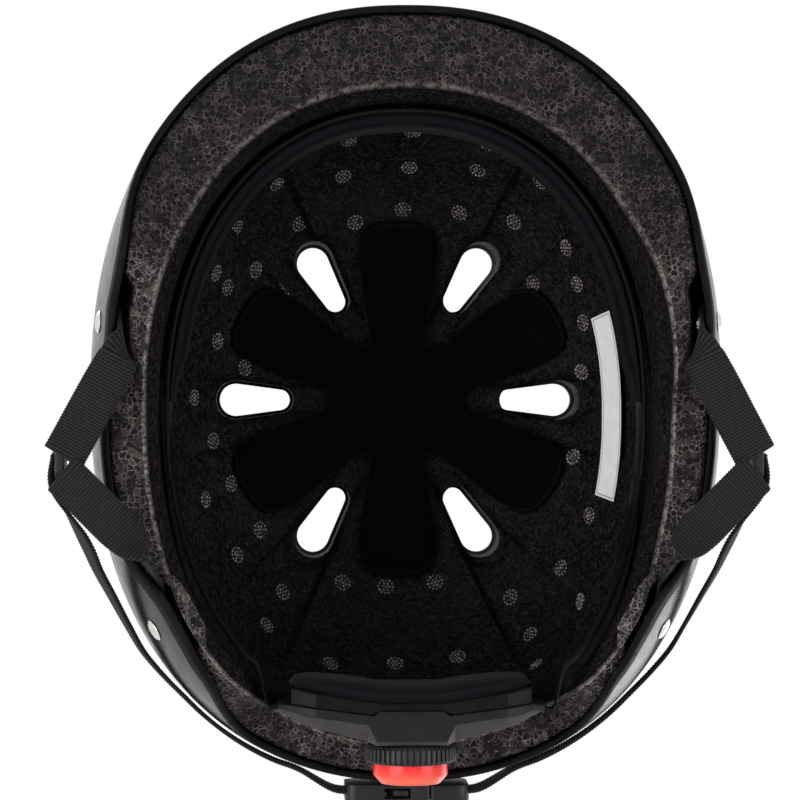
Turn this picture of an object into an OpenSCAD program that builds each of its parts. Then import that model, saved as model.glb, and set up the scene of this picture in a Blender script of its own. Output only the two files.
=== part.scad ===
// Scooter helmet: hard shell, foam liner, fit system with a lit rear dial, webbing and buckle.
// Crown up, brow towards -Y, standing on the low tabs of its rim at z = 0. Millimetres.

/* [Shell] */
// Width of the shell at its widest
shell_w = 225; // [215:1:235]
// Length of the shell from brow to back
shell_l = 274; // [264:1:286]
// Height from the low tabs of the rim to the crown
shell_h = 160; // [156:1:166]
// Thickness of the hard shell
shell_t = 2.6; // [2.2:0.1:3]
// Height at which the shell is widest
bulge_z = 58; // [54:1:62]
// Height of the rim over the brow
brow_z = 26; // [22:1:29]
// Height of the rim over the ears
ear_z = 20; // [16:1:24]
// Height of the rim over the dial at the back
back_z = 36; // [35:1:38]

/* [Liner] */
// Width of the head space
cav_w = 176; // [170:1:180]
// Length of the head space
cav_l = 223; // [219:1:225]
// Height of the liner's inner crown
cav_h = 130; // [126:1:134]
// How far the middle of the head space lies behind the middle of the shell
cav_y = 7.2; // [6:0.2:8]
// How far the foam stops above the shell's lip
recess = 1.5; // [1:0.1:2]
// Depth of the air channels behind the vents
channel_d = 3; // [2:0.5:4]

/* [Vents] */
// Distance of each vent's middle from the crown
vent_r = 54; // [52:0.5:56]
// Length of each vent along its radius
vent_l = 27; // [24:0.5:29]
// Width of each vent at its outer end
vent_out = 12.4; // [11:0.2:13]
// Width of each vent at its inner end
vent_in = 8; // [7:0.2:9]
// Angle of the side vents from those at the front and back
vent_a = 59; // [58:0.5:60]

/* [Pads] */
// Reach of the crown pad's petals from the middle
petal_r = 67; // [62:1:70]
// Width of a petal near its end
petal_w = 31; // [28:0.5:32]
// Width of a petal at its root
petal_root = 20; // [18:0.5:21]
// Thickness of the crown pad
pad_t = 7; // [5:0.5:8]
// Thickness of the brow pad
brow_pad_t = 5; // [4:0.5:6]
// Thickness of the nape pad
nape_t = 5; // [4:0.5:6]
// Diameter of the hook dots that hold the crown pad
dot_d = 14; // [12:1:15]
// Thickness of the hook dots
dot_t = 0.6; // [0.5:0.1:0.8]

/* [Headband] */
// Thickness of the headband ring
band_t = 1.6; // [1.4:0.1:1.8]
// Width of the ring round the brow
band_w = 22; // [20:1:24]
// Height of the ring's lower edge
band_z = 45; // [43:1:47]
// Width of the side bands that run back to the cradle
side_w = 12; // [11:0.5:12.5]
// Radius of the pins that hold the ring in the foam
pin_r = 2; // [1.8:0.1:2.2]

/* [Cradle] */
// Width of the rear cradle
cradle_w = 92; // [90:1:94]
// Height of the rear cradle
cradle_h = 30; // [28:0.5:31]
// How far the cradle's back cover lies behind the middle of the shell
cradle_y = 106.5; // [106:0.1:106.8]
// Depth of the back cover at its middle
cover_d = 13.5; // [13:0.1:14]
// Thickness of the cradle's front plate
plate_t = 2; // [1.8:0.1:2.4]

/* [Dial] */
// Height of the dial's axis
dial_z = 17.5; // [17.2:0.1:18]
// Radius of the dial over its ribs
dial_r = 16; // [15.6:0.1:16.4]
// Depth of the dial
dial_d = 6.6; // [6.4:0.1:7]
// Ribs round the dial
dial_ribs = 48; // [36:2:54]
// Radius of the red light lens
lens_r = 13; // [12.8:0.1:13.2]
// How far the lens stands out of the dial
lens_out = 7.2; // [6.5:0.1:8]
// Travel of the lens when it is pressed
press = 1; // [0.6:0.1:1.2]
// Travel of the racks and the cradle
travel = 12; // [8:0.5:12]
// Tooth module of the pinion and racks
mod = 0.8; // [0.8:0.01:0.82]
// Teeth on the pinion
teeth = 10; // [10:1:10]

/* [Webbing] */
// Width of the webbing
web_w = 15; // [14:0.5:16]
// Thickness of the webbing
web_t = 1.4; // [1.2:0.1:1.5]
// Radius of the rivet heads
rivet_r = 4; // [3.5:0.1:4.5]
// Height of the front rivets
rivet_zf = 22; // [20:1:24]
// Height of the rear rivets
rivet_zr = 20; // [18:1:22]
// Height of the chin strap's middle at the back of the shell
loop_z = 50; // [46:1:54]
// Length of the buckle with its halves together
buckle_l = 44; // [42:1:46]
// Width of the buckle across the webbing
buckle_w = 22; // [21:0.5:23]
// Thickness of the buckle
buckle_t = 6; // [5.6:0.1:6.4]

/* [Hidden] */
$fn = 48;
// Gap between a soft or curved piece and its seat
fit = 0.3;
// Running gap of a shaft in its bore
run = 0.06;
// Steps round the helmet
NU = 72;
plan_n = 2.25;
dome_n = 2.25;
cav_n = 2.2;
cavdome_n = 2.3;
cav_z0 = 45;
liner_d = shell_t + fit + 0.25;
// The shell lies forward of the origin so that the whole part is centred, buckle and all
buckle_off = 0.6;
shell_y = -(buckle_off + buckle_t) / 2;
cav_c = shell_y + cav_y;
cradle_p = shell_y + cradle_y;

// Rim height along the plan angle, from the brow (0) to the back (180)
RIM = [[0, brow_z], [50, brow_z - 3], [70, 0], [75, 0], [80, 4], [92, ear_z], [108, ear_z],
    [125, 0], [130, 0], [138, 3], [154, back_z], [180, back_z]];
// How far the shell draws in at z = 0 below its widest part
TUCK = [[0, 1], [50, 3], [75, 8], [95, 13], [125, 14.5], [145, 13], [180, 7]];

function sgn1(v) = v < 0 ? -1 : 1;
function se(v, n) = sgn1(v) * pow(abs(v), 2 / n);
function mix(a, b, t) = a + (b - a) * t;
function smooth(t) = t * t * (3 - 2 * t);
function tab(tb, x, i = 0) =
    x <= tb[0][0] ? tb[0][1] :
    i >= len(tb) - 1 ? tb[len(tb) - 1][1] :
    x <= tb[i + 1][0] ?
        mix(tb[i][1], tb[i + 1][1], smooth((x - tb[i][0]) / (tb[i + 1][0] - tb[i][0]))) :
    tab(tb, x, i + 1);
function unit(v) = v / norm(v);
function fold(u) = let (w = ((u % 360) + 360) % 360) w > 180 ? 360 - w : w;
function rim(u) = tab(RIM, fold(u));
function plan(u, hw, hl, n) = [hw * se(sin(u), n), -hl * se(cos(u), n)];

// A point of the shell's outside, or d inside it, at plan angle u and height z
function wall(u, z, d = 0) =
    let (p = plan(u, shell_w / 2 - d, shell_l / 2 - d, plan_n))
    let (top = shell_h - d - bulge_z)
    let (k = z > bulge_z ?
        pow(max(0, 1 - pow((z - bulge_z) / top, dome_n)), 1 / dome_n) :
        1 - tab(TUCK, fold(u)) / norm(p) * pow((bulge_z - z) / bulge_z, 2))
    [p.x * k, p.y * k + shell_y, z];
function dome(u, al, d = 0) =
    let (p = plan(u, shell_w / 2 - d, shell_l / 2 - d, plan_n))
    let (k = pow(cos(al), 2 / dome_n))
    [p.x * k, p.y * k + shell_y, bulge_z + (shell_h - d - bulge_z) * pow(sin(al), 2 / dome_n)];
// Outward normal of the shell at plan angle u and height z
function out_n(u, z) =
    unit(cross(wall(u + 1, z) - wall(u - 1, z), wall(u, z + 1) - wall(u, z - 1)));

// A point of the head space's wall, e inside it, at plan angle u and height z
function cav(u, z, e = 0) =
    let (p = plan(u, cav_w / 2 - e, cav_l / 2 - e, cav_n))
    let (k = z > cav_z0 ?
        pow(max(0, 1 - pow((z - cav_z0) / (cav_h - e - cav_z0), cavdome_n)), 1 / cavdome_n) : 1)
    [p.x * k, p.y * k + cav_c, z];
function cavdome(u, al, e = 0) =
    let (p = plan(u, cav_w / 2 - e, cav_l / 2 - e, cav_n))
    let (k = pow(cos(al), 2 / cavdome_n))
    [p.x * k, p.y * k + cav_c, cav_z0 + (cav_h - e - cav_z0) * pow(sin(al), 2 / cavdome_n)];
// Height of the head space's wall, e inside it, above the point x, y
function cav_top(x, y, e = 0) =
    let (q = pow(abs(x) / (cav_w / 2 - e), cav_n) + pow(abs(y - cav_c) / (cav_l / 2 - e), cav_n))
    let (k = pow(q, 1 / cav_n))
    cav_z0 + (cav_h - e - cav_z0) * pow(max(0, 1 - pow(k, cavdome_n)), 1 / cavdome_n);

// A closed solid from rings of equal length between two end points
module rings_solid(rings, first, last) {
    m = len(rings);
    n = len(rings[0]);
    pts = concat([first], [for (r = rings) each r], [last]);
    polyhedron(pts, concat(
        [for (i = [0 : n - 1]) [0, 1 + i, 1 + (i + 1) % n]],
        [for (j = [0 : m - 2], i = [0 : n - 1]) let (a = 1 + j * n, b = a + n, k = (i + 1) % n)
            each [[a + i, b + i, b + k], [a + i, b + k, a + k]]],
        [for (i = [0 : n - 1]) [1 + m * n, 1 + (m - 1) * n + (i + 1) % n, 1 + (m - 1) * n + i]]));
}
// A closed solid along a list of equal sections with flat ends
module strip_solid(secs) {
    m = len(secs);
    n = len(secs[0]);
    polyhedron([for (s = secs) each s], concat(
        [[for (i = [0 : n - 1]) i]],
        [for (j = [0 : m - 2], i = [0 : n - 1]) let (a = j * n, b = a + n, k = (i + 1) % n)
            each [[a + i, b + i, b + k], [a + i, b + k, a + k]]],
        [[for (i = [n - 1 : -1 : 0]) (m - 1) * n + i]]));
}
// Turns +Z to the direction v at the point p
module along(p, v) {
    translate(p) rotate([0, acos(v.z / norm(v)), atan2(v.y, v.x)]) children();
}
module on_back(x, y, z) {
    translate([x, y, z]) rotate([-90, 0, 0]) children();
}

US = [for (i = [0 : NU - 1]) 360 * i / NU];
DOME = [84, 76, 68, 60, 52, 44, 36, 27, 18, 9];
WALL = [0, 0.25, 0.5, 0.75, 1];
// The faces between shell and foam are hidden, so they take fewer rings
HID_DOME = [82, 69, 56, 43, 29, 15];
HID_WALL = [0, 0.4, 1];
function shell_up(d, lift) = let (ws = d > 0 ? HID_WALL : WALL, ds = d > 0 ? HID_DOME : DOME) concat(
    [for (t = ws) [for (u = US) wall(u, mix(rim(u), bulge_z, t) + (t == 0 ? lift : 0), d)]],
    [for (i = [len(ds) - 1 : -1 : 0]) [for (u = US) dome(u, ds[i], d)]]);
function flip(v) = [for (i = [len(v) - 1 : -1 : 0]) v[i]];
// Air channels run out from the vents: their middles and half widths in plan angle, and their depth by rise
CHAN = [[40, 10], [90, 7.5], [140, 10]];
CHAN_RISE = [[14, 0], [27, 0.8], [36, 1], [58, 1], [70, 0]];
function in_chan(u) = max([for (c = CHAN) abs(fold(u) - c[0]) <= c[1] ? 1 : 0]);
function chan(u, al) = channel_d * in_chan(u) * tab(CHAN_RISE, al);
CAVW = [0, 0.5, 1];
function cav_up(e) = concat(
    [for (t = CAVW) [for (u = US) cav(u, mix(rim(u) + recess, cav_z0, t), t == 0 ? e - 2 : e)]],
    [for (i = [len(DOME) - 1 : -1 : 0]) [for (u = US) cavdome(u, DOME[i], e - chan(u, DOME[i]))]]);

// Where the vents and the crown pad have their common middle
crown_y = shell_y + cav_y * 0.2;
VENTS = [90 - vent_a, 90, 90 + vent_a, 270 - vent_a, 270, 270 + vent_a];
// A vent's outline, g larger all round, drawn along the radius
module vent_shape(g) {
    hull() {
        translate([0, -(vent_r - vent_l / 2 + vent_in / 2)]) circle(vent_in / 2 + g, $fn = 16);
        translate([0, -(vent_r + vent_l / 2 - vent_out / 2)]) circle(vent_out / 2 + g, $fn = 16);
    }
}
module vents(g) {
    translate([0, crown_y, 0]) linear_extrude(shell_h + 10) for (a = VENTS) rotate(a) vent_shape(g);
}
RIVETS = [[81, rivet_zf], [126, rivet_zr], [234, rivet_zr], [279, rivet_zf]];
shank_r = 1.6;
module rivet_holes(r) {
    for (p = RIVETS) along(wall(p[0], p[1]), out_n(p[0], p[1]))
        translate([0, 0, -12]) cylinder(h = 16, r = r, $fn = 16);
}

module outer_shell() {
    color([0.05, 0.05, 0.055]) difference() {
        rings_solid(concat(flip(shell_up(shell_t, 0)), shell_up(0, 0)),
            [0, shell_y, shell_h - shell_t], [0, shell_y, shell_h]);
        vents(0);
        rivet_holes(shank_r + 0.15);
    }
}

// The pocket in the foam for the end of each strap leg
pocket_d = web_t + 4.3;
// Extra width on the side the leg runs off to: forward behind the ears, back in front of them
function behind(u) = abs(u - 180) < 70;
function lead(u) = behind(u) ? web_w * 0.8 : web_w * 0.25;
module strap_pockets() {
    for (p = RIVETS) along(wall(p[0], p[1]), out_n(p[0], p[1])) rotate([0, 8, 0])
        translate([-10, -web_w - (p[0] < 180 == behind(p[0]) ? lead(p[0]) : 0), -pocket_d - liner_d + 0.4])
        cube([p[1] + 22, web_w * 2 + lead(p[0]), pocket_d + 9]);
}
PINS = [0, 35, 75, 285, 325];
pin_l = 8;
band_e = 2;
pin_zm = band_z + band_w / 2;
module band_pin_rods(r, l) {
    for (u = PINS) {
        p = cav(u, pin_zm, band_e);
        q = cav(u, pin_zm, band_e - 4);
        along(p, [q.x - p.x, q.y - p.y, 0]) cylinder(h = l, r = r);
    }
}
module eps_liner() {
    color([0.16, 0.155, 0.155]) difference() {
        rings_solid(concat(flip(cav_up(0)), shell_up(liner_d, recess)),
            [0, cav_c, cav_h], [0, shell_y, shell_h - liner_d]);
        vents(1.2);
        strap_pockets();
        band_pin_rods(pin_r + 0.15, pin_l + 0.4);
    }
}

// Crown pad: six petals, as a radius that depends on the direction
PETALS = [0, 61, 120, 180, 240, 299];
PW = [petal_root / 2, petal_w / 2];
root_r = petal_root * 1.28;
function petal_at(a, t) =
    let (d = abs(((a - t + 540) % 360) - 180))
    let (s = (PW[1] - PW[0]) / (petal_r - 10 - root_r))
    let (den = sin(d) - s * cos(d))
    let (side = den <= 0.001 ? 999 : (PW[0] - s * root_r) / den)
    let (edge = petal_r - 5 * pow(min(1, petal_r * sin(min(d, 90)) / PW[1]), 5))
    max(root_r, min(side, edge));
function pad_r(a) = max([for (t = PETALS) petal_at(a, t)]);
NP = 120;
PADF = [0.3, 0.62, 0.86, 0.97];
dot_gap = fit + 0.4;
pad_gap = dot_gap + dot_t + fit;
function pad_pt(a, f, e) =
    let (r = pad_r(a) * f, x = r * sin(a), y = crown_y - r * cos(a))
    [x, y, cav_top(x, y) - e];
module crown_pad() {
    as = [for (i = [0 : NP - 1]) 360 * i / NP];
    color([0.03, 0.035, 0.06]) rings_solid(concat(
        [for (f = PADF) [for (a = as)
            pad_pt(a, f, pad_gap + (f > 0.9 ? pad_t * 0.5 : f > 0.8 ? pad_t * 0.86 : pad_t))]],
        [[for (a = as) pad_pt(a, 1, pad_gap + 1.2)]],
        [for (f = flip(PADF)) [for (a = as) pad_pt(a, f, pad_gap)]]),
        [0, crown_y, cav_top(0, crown_y) - pad_gap - pad_t],
        [0, crown_y, cav_top(0, crown_y) - pad_gap]);
}
module hook_dots() {
    color([0.12, 0.12, 0.12]) for (q = concat([[0, 0]], [for (a = PETALS) [a, petal_r * 0.66]])) {
        x = q[1] * sin(q[0]);
        y = crown_y - q[1] * cos(q[0]);
        n = unit([(cav_top(x - 1, y) - cav_top(x + 1, y)) / 2,
            (cav_top(x, y - 1) - cav_top(x, y + 1)) / 2, 1]);
        along([x, y, cav_top(x, y)] - n * (dot_gap + dot_t), n) cylinder(h = dot_t, d = dot_d);
    }
}

// A band that follows the head space's wall between two depths and two heights
function band_sec(u, e0, e1, z0, z1) = [cav(u, z0, e0), cav(u, z1, e0), cav(u, z1, e1), cav(u, z0, e1)];
ring_end = 100;
module headband_ring() {
    color([0.06, 0.065, 0.075]) strip_solid([for (u = [ring_end : -5 : -ring_end])
        let (z = band_z + 3 * smooth(max(0, (abs(u) - 70) / 30)))
        band_sec(u, band_e, band_e + band_t, z, z + mix(band_w, side_w, smooth(max(0, (abs(u) - 60) / 40))))]);
}
module band_pins() {
    color([0.06, 0.065, 0.075]) difference() {
        band_pin_rods(pin_r, pin_l);
        strip_solid([for (u = [ring_end : -5 : -ring_end])
            band_sec(u, band_e - 0.05, band_e + band_t + 3, band_z - 2, band_z + band_w + 2)]);
    }
}
pad_e = band_e + band_t + fit;
function brow_sec(u, k) =
    let (t = brow_pad_t * k, z0 = band_z + 1 + 2 * (1 - k), z1 = band_z + band_w - 1 - 2 * (1 - k))
    let (zm = (z0 + z1) / 2, h = (z1 - z0) / 2)
    concat([for (b = [-80 : 20 : 80]) cav(u, zm + h * sin(b), pad_e + t * pow(cos(b), 0.6))],
        [cav(u, z1 - 0.4, pad_e), cav(u, z0 + 0.4, pad_e)]);
brow_end = 88;
module brow_pad() {
    color([0.03, 0.035, 0.06]) strip_solid([for (u = [-brow_end : 4 : brow_end])
        brow_sec(u, min(1, 0.25 + 0.75 * smooth(min(1, (brow_end - abs(u)) / 12))))]);
}

// Rear cradle, drawn about its own axis and set at the dial's height
cz = dial_z + 0.5;
plate_y = cradle_p - plate_t;
slot_d = 2.1;
rack_t = 1.7;
pitch_r = mod * teeth / 2;
tooth = PI * mod;
rack_top = pitch_r + 5;
dial_y = cradle_p + cover_d + 0.4;
shaft_r = 2.4;
module cradle_front_view() {
    w = cradle_w / 2;
    h = cradle_h / 2;
    polygon([[-w, -h + 8], [-w + 12, -h], [w - 12, -h], [w, -h + 8], [w, h - 8], [w - 12, h],
        [-w + 12, h], [-w, h - 8]]);
}
module cradle_block(y0, pts) {
    intersection() {
        translate([0, 0, -50]) linear_extrude(100 + cz) polygon(pts);
        translate([0, y0 + 30, cz]) rotate([90, 0, 0]) linear_extrude(60) cradle_front_view();
    }
}
module rack_slot(g) {
    translate([-cradle_w / 2 - 1, cradle_p - g, dial_z + pitch_r - 1])
        cube([cradle_w + 2 - 14, slot_d + g, rack_top - pitch_r + 1.3]);
}
SCREWS = [[-34, dial_z - 7.5], [34, dial_z + 7.5]];
module cradle_back() {
    w = cradle_w / 2;
    y1 = cradle_p + cover_d;
    color([0.30, 0.30, 0.31]) difference() {
        cradle_block(cradle_p, [[-w, cradle_p], [w, cradle_p], [w, cradle_p + 3.4],
            [w - 9, cradle_p + 7], [12.5, y1], [-12.5, y1], [-w + 9, cradle_p + 7], [-w, cradle_p + 3.4]]);
        rack_slot(0.1);
        translate([0, 0, 2 * dial_z]) rotate([0, 180, 0]) rack_slot(0.1);
        on_back(0, cradle_p - 0.1, dial_z) cylinder(h = slot_d + 0.1, r = pitch_r + 1.2);
        on_back(0, cradle_p, dial_z) cylinder(h = cover_d + 1, r = shaft_r + run);
        for (s = SCREWS) on_back(s[0], cradle_p - 0.1, s[1]) cylinder(h = 4.1, r = 1.25);
    }
}
module cradle_front() {
    w = cradle_w / 2;
    color([0.04, 0.04, 0.05]) difference() {
        cradle_block(plate_y, [[-w, plate_y], [-w + 4, plate_y - 1], [w - 4, plate_y - 1], [w, plate_y],
            [w, cradle_p], [-w, cradle_p]]);
        for (s = SCREWS) {
            on_back(s[0], plate_y - 2, s[1]) cylinder(h = 6, r = 1.4);
            on_back(s[0], plate_y - 2, s[1]) cylinder(h = 2.4, r = 2.6);
        }
        on_back(0, plate_y - 2, dial_z) cylinder(h = 6, r = 3);
    }
}
module cradle_screws() {
    color([0.7, 0.7, 0.72]) for (s = SCREWS) {
        on_back(s[0], plate_y - 0.8, s[1]) cylinder(h = 1.2, r = 2.4);
        on_back(s[0], plate_y + 0.3, s[1]) cylinder(h = plate_t + 3, r = 1.2);
    }
}
// A soft pad in front of the cradle, with a crown and drawn-in sides
nape_w = 84;
nape_h = 40;
module nape_pad() {
    y0 = plate_y - 1 - fit;
    as = [for (i = [0 : 39]) 9 * i];
    function ring(k, y) = [for (a = as) [nape_w / 2 * k * se(cos(a), 4), y, cz + 6 + nape_h / 2 * k * se(sin(a), 4)]];
    color([0.03, 0.035, 0.06]) rings_solid([ring(0.93, y0), ring(1, y0 - nape_t * 0.3),
        ring(0.97, y0 - nape_t * 0.75), ring(0.86, y0 - nape_t * 0.95), ring(0.5, y0 - nape_t)],
        [0, y0, cz + 6], [0, y0 - nape_t - 0.5, cz + 6]);
}
rack_in = travel + 2;
module rack() {
    n = floor((cradle_w / 2 + rack_in - 8) / tooth);
    n1 = floor((rack_in - 1) / tooth);
    z0 = pitch_r + 0.75;
    color([0.75, 0.75, 0.76]) translate([0, cradle_p + slot_d - rack_t - 0.1, 0]) {
        translate([-cradle_w / 2, 0, z0]) cube([cradle_w / 2 + rack_in, rack_t, rack_top - z0]);
        for (i = [n1 - n : n1]) translate([i * tooth, rack_t, z0]) rotate([90, 0, 0])
            linear_extrude(rack_t) polygon([[-0.62, 0.05], [-0.26, -1.35], [0.26, -1.35], [0.62, 0.05]]);
    }
}
module left_rack() {
    translate([0, 0, dial_z]) rack();
}
module right_rack() {
    translate([0, 0, dial_z]) rotate([0, 180, 0]) rack();
}
// Side bands: from the ring at the ear back and down to the rack
band_in = cradle_w / 2 + fit;
function side_run(s, zz) = [for (i = [0 : 12]) let (t = i / 12, u = mix(ring_end + 0.4, 143, t))
    let (zc = mix(band_z + 9, zz, smooth(t)), w = side_w / 2 * mix(1, 0.45, smooth(t)))
    let (e = band_e + 0.4 + 1.2 * t)
    [for (q = [[e, -w], [e, w], [e + band_t, w], [e + band_t, -w]])
        let (p = cav(u, zc + q[1], q[0])) [s * p.x, p.y, p.z]]];
function side_end(s, zz) = [for (x = [band_in + 3, band_in]) [for (q = [[1, -2.6], [1, 2.6], [0, 2.6], [0, -2.6]])
    [s * x, cradle_p + 0.35 + q[0] * band_t, zz + q[1]]]];
module side_band(s, zz) {
    secs = concat(side_run(s, zz), side_end(s, zz));
    color([0.05, 0.055, 0.065]) strip_solid(s < 0 ? secs : [for (c = secs) flip(c)]);
}
module left_band() {
    side_band(-1, dial_z + rack_top - 2.2);
}
module right_band() {
    side_band(1, dial_z - rack_top + 2.2);
}

// Pinion, shaft and dial turn together about the dial's axis
module gear(h) {
    linear_extrude(h) union() {
        circle(pitch_r - 0.95);
        for (i = [0 : teeth - 1]) rotate(360 * (i + 0.5) / teeth + 90)
            polygon([[pitch_r - 1.3, -0.75], [pitch_r + 0.6, -0.26], [pitch_r + 0.6, 0.26], [pitch_r - 1.3, 0.75]]);
    }
}
module pinion() {
    color([0.75, 0.75, 0.76]) difference() {
        union() {
            on_back(0, cradle_p + 0.3, dial_z) gear(rack_t);
            on_back(0, cradle_p + 0.4, dial_z) cylinder(h = dial_y - cradle_p - 0.4, r = shaft_r);
        }
        on_back(0, cradle_p, dial_z) cylinder(h = 30, r = 1.1);
    }
}
module dial_screw() {
    color([0.7, 0.7, 0.72]) {
        on_back(0, cradle_p - 1.1, dial_z) cylinder(h = 1.3, r = 2.2);
        on_back(0, cradle_p, dial_z) cylinder(h = dial_y - cradle_p + 1, r = 1);
    }
}
module dial_washer() {
    color([0.7, 0.7, 0.72]) on_back(0, cradle_p + cover_d + 0.05, dial_z) difference() {
        cylinder(h = 0.3, r = 5.5);
        translate([0, 0, -1]) cylinder(h = 3, r = shaft_r + 0.2);
    }
}
floor_t = 1.3;
groove_r = lens_r + 1;
module dial_wheel() {
    on_back(0, dial_y, dial_z) color([0.07, 0.07, 0.075]) {
        difference() {
            union() {
                cylinder(h = dial_d, r = dial_r - 0.8);
                for (i = [0 : dial_ribs - 1]) rotate(360 * i / dial_ribs)
                    translate([dial_r - 1.2, -0.35, 0.6]) cube([1.2, 0.7, dial_d - 1.2]);
            }
            translate([0, 0, floor_t]) cylinder(h = dial_d, r = lens_r + 0.2);
            translate([0, 0, dial_d - 4.4]) cylinder(h = 2.8, r = groove_r);
            translate([0, 0, -1]) cylinder(h = floor_t + 2, r = 1.1);
        }
        difference() {
            translate([0, 0, floor_t - 0.1]) cylinder(h = 3, r = 11.2);
            translate([0, 0, floor_t - 1]) cylinder(h = 5, r = 9);
        }
    }
}
lens_y = dial_y + dial_d - 2.6;
module light_lens() {
    color([0.9, 0.08, 0.1]) on_back(0, lens_y, dial_z) rotate_extrude(convexity = 4) polygon([
        [11.6, 0], [lens_r + 0.75, 0], [lens_r + 0.75, 0.8], [lens_r, 0.8], [lens_r, 2.6 + lens_out - 3],
        [lens_r - 2.6, 2.6 + lens_out], [0, 2.6 + lens_out + 0.6], [0, 3.2 + press], [1.6, 3.2 + press],
        [1.6, 2.6 + lens_out - 1.6], [lens_r - 3.6, 2.6 + lens_out - 1.6], [11.6, 2.6 + lens_out - 4]]);
}
board_y = dial_y + floor_t + 3;
module light_board() {
    color([0.1, 0.35, 0.15]) on_back(0, board_y, dial_z) cylinder(h = 1, r = 10.8);
}
module light_switch() {
    color([0.8, 0.8, 0.8]) on_back(0, board_y + 1, dial_z) {
        translate([-2.2, -2.2, 0]) cube([4.4, 4.4, 0.6]);
        cylinder(h = lens_y + 3.2 - board_y - 1.1, r = 1.3);
    }
}
module leds() {
    color([0.95, 0.95, 0.9]) for (a = [30, 150, 270]) on_back(0, board_y + 1, dial_z) rotate(a)
        translate([6, -1.4, 0]) cube([2.2, 2.8, 1.2]);
}
module coin_cell() {
    color([0.7, 0.7, 0.72]) on_back(0, dial_y + floor_t + 0.05, dial_z) cylinder(h = 2.8, r = 8);
}

// Rivets through the shell, the webbing and a washer
module rivets() {
    color([0.85, 0.85, 0.86]) for (p = RIVETS) along(wall(p[0], p[1]), out_n(p[0], p[1])) {
        translate([0, 0, 0.15]) cylinder(h = 0.5, r = rivet_r);
        translate([0, 0, 0.6]) cylinder(h = 0.7, r1 = rivet_r, r2 = rivet_r * 0.62);
        translate([0, 0, -liner_d - web_t - 2.1]) cylinder(h = liner_d + web_t + 2.3, r = shank_r);
        translate([0, 0, -liner_d - web_t - 2.7]) cylinder(h = 0.7, r = 2.4);
    }
}
module rivet_washers() {
    color([0.7, 0.7, 0.72]) for (p = RIVETS) along(wall(p[0], p[1]), out_n(p[0], p[1]))
        translate([0, 0, -liner_d - web_t - 1.9]) difference() {
            cylinder(h = 0.8, r = 5);
            translate([0, 0, -1]) cylinder(h = 3, r = shank_r + 0.1);
        }
}

// Webbing through a list of [middle, width direction]
function web_secs(st) = [for (i = [0 : len(st) - 1])
    let (a = st[max(0, i - 1)][0], b = st[min(len(st) - 1, i + 1)][0])
    let (d = unit(b - a), w = unit(st[i][1] - (st[i][1] * d) * d), n = cross(d, w))
    [for (q = [[-1, -1], [1, -1], [1, 1], [-1, 1]]) st[i][0] + w * q[0] * web_w / 2 + n * q[1] * web_t / 2]];
// A leg: down from its rivet between shell and foam, under the lip and out to the divider
div_x = shell_w / 2 + 8.5;
div_y = shell_y + 23;
div_z = 20.5;
leg_z = div_z - 10.2;
function leg_top(u, z) = wall(u, z, liner_d + web_t / 2 + 0.6);
// Directions along the shell's wall, down and back
function down(u, z) = unit(wall(u, z - 1) - wall(u, z + 1));
function back(u, z) = unit(wall(u + 1, z) - wall(u - 1, z));
function low(p, z) = [p.x, p.y, z];
function leg_st(u0, zt, u1, u2, out_p, w1, w2, w3) =
    let (n = out_n(u0, zt), th = cross([0, 0, 1], unit([n.x, n.y, 0])))
    let (a = leg_top(u0, zt + 7), b = leg_top(u0, zt - 5))
    let (c = wall(u1, 7, liner_d + web_t + 0.9), d = low(wall(u2, 5, 2), 4.4))
    [[a, th], [mix(a, b, 0.5), th], [b, th], [mix(b, c, 0.5), unit(mix(th, w1, 0.5))], [c, w1],
        [mix(c, d, 0.5) - [0, 0, 0.8], unit(mix(w1, w2, 0.5))], [d, w2],
        [mix(d, out_p, 0.25) - [0, 0, 0.5], unit(mix(w2, w3, 0.5))], [mix(d, out_p, 0.55), w3], [out_p, w3]];
front_leg = leg_st(81, rivet_zf, 83.6, 86, [div_x - 2.4, div_y - 3.5, leg_z], [-0.2, 0.85, 0.45],
    [-0.6, 0.65, 0.35], [-0.82, 0.55, 0.1]);
// Behind the ear the leg runs forward inside the shell and comes out over the slanting edge of the arch
function slant(u, z, f) = unit(f * back(u, z) + down(u, z));
rear_leg = let (a = rivet_zr, s = slant(126, a, 0.32), c = wall(118.5, 14, liner_d + web_t + 0.8))
    let (d = wall(114, 7.5, 3.2), e = slant(114, 12, 1.5), f = [div_x - 2.4, div_y + 5, leg_z])
    let (w = [0.62, 0.76, 0.1])
    [[leg_top(129.5, a + 1.6), s], [leg_top(126, a), s], [leg_top(123, a - 1.2), s], [c, slant(118.5, 14, 0.32)],
        [mix(c, d, 0.6), unit(mix(slant(118.5, 14, 0.32), e, 0.6))], [d, e],
        [mix(d, f, 0.25) - [0, 0, 0.5], unit(mix(e, w, 0.4))], [mix(d, f, 0.6), unit(mix(e, w, 0.85))], [f, w]];
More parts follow.
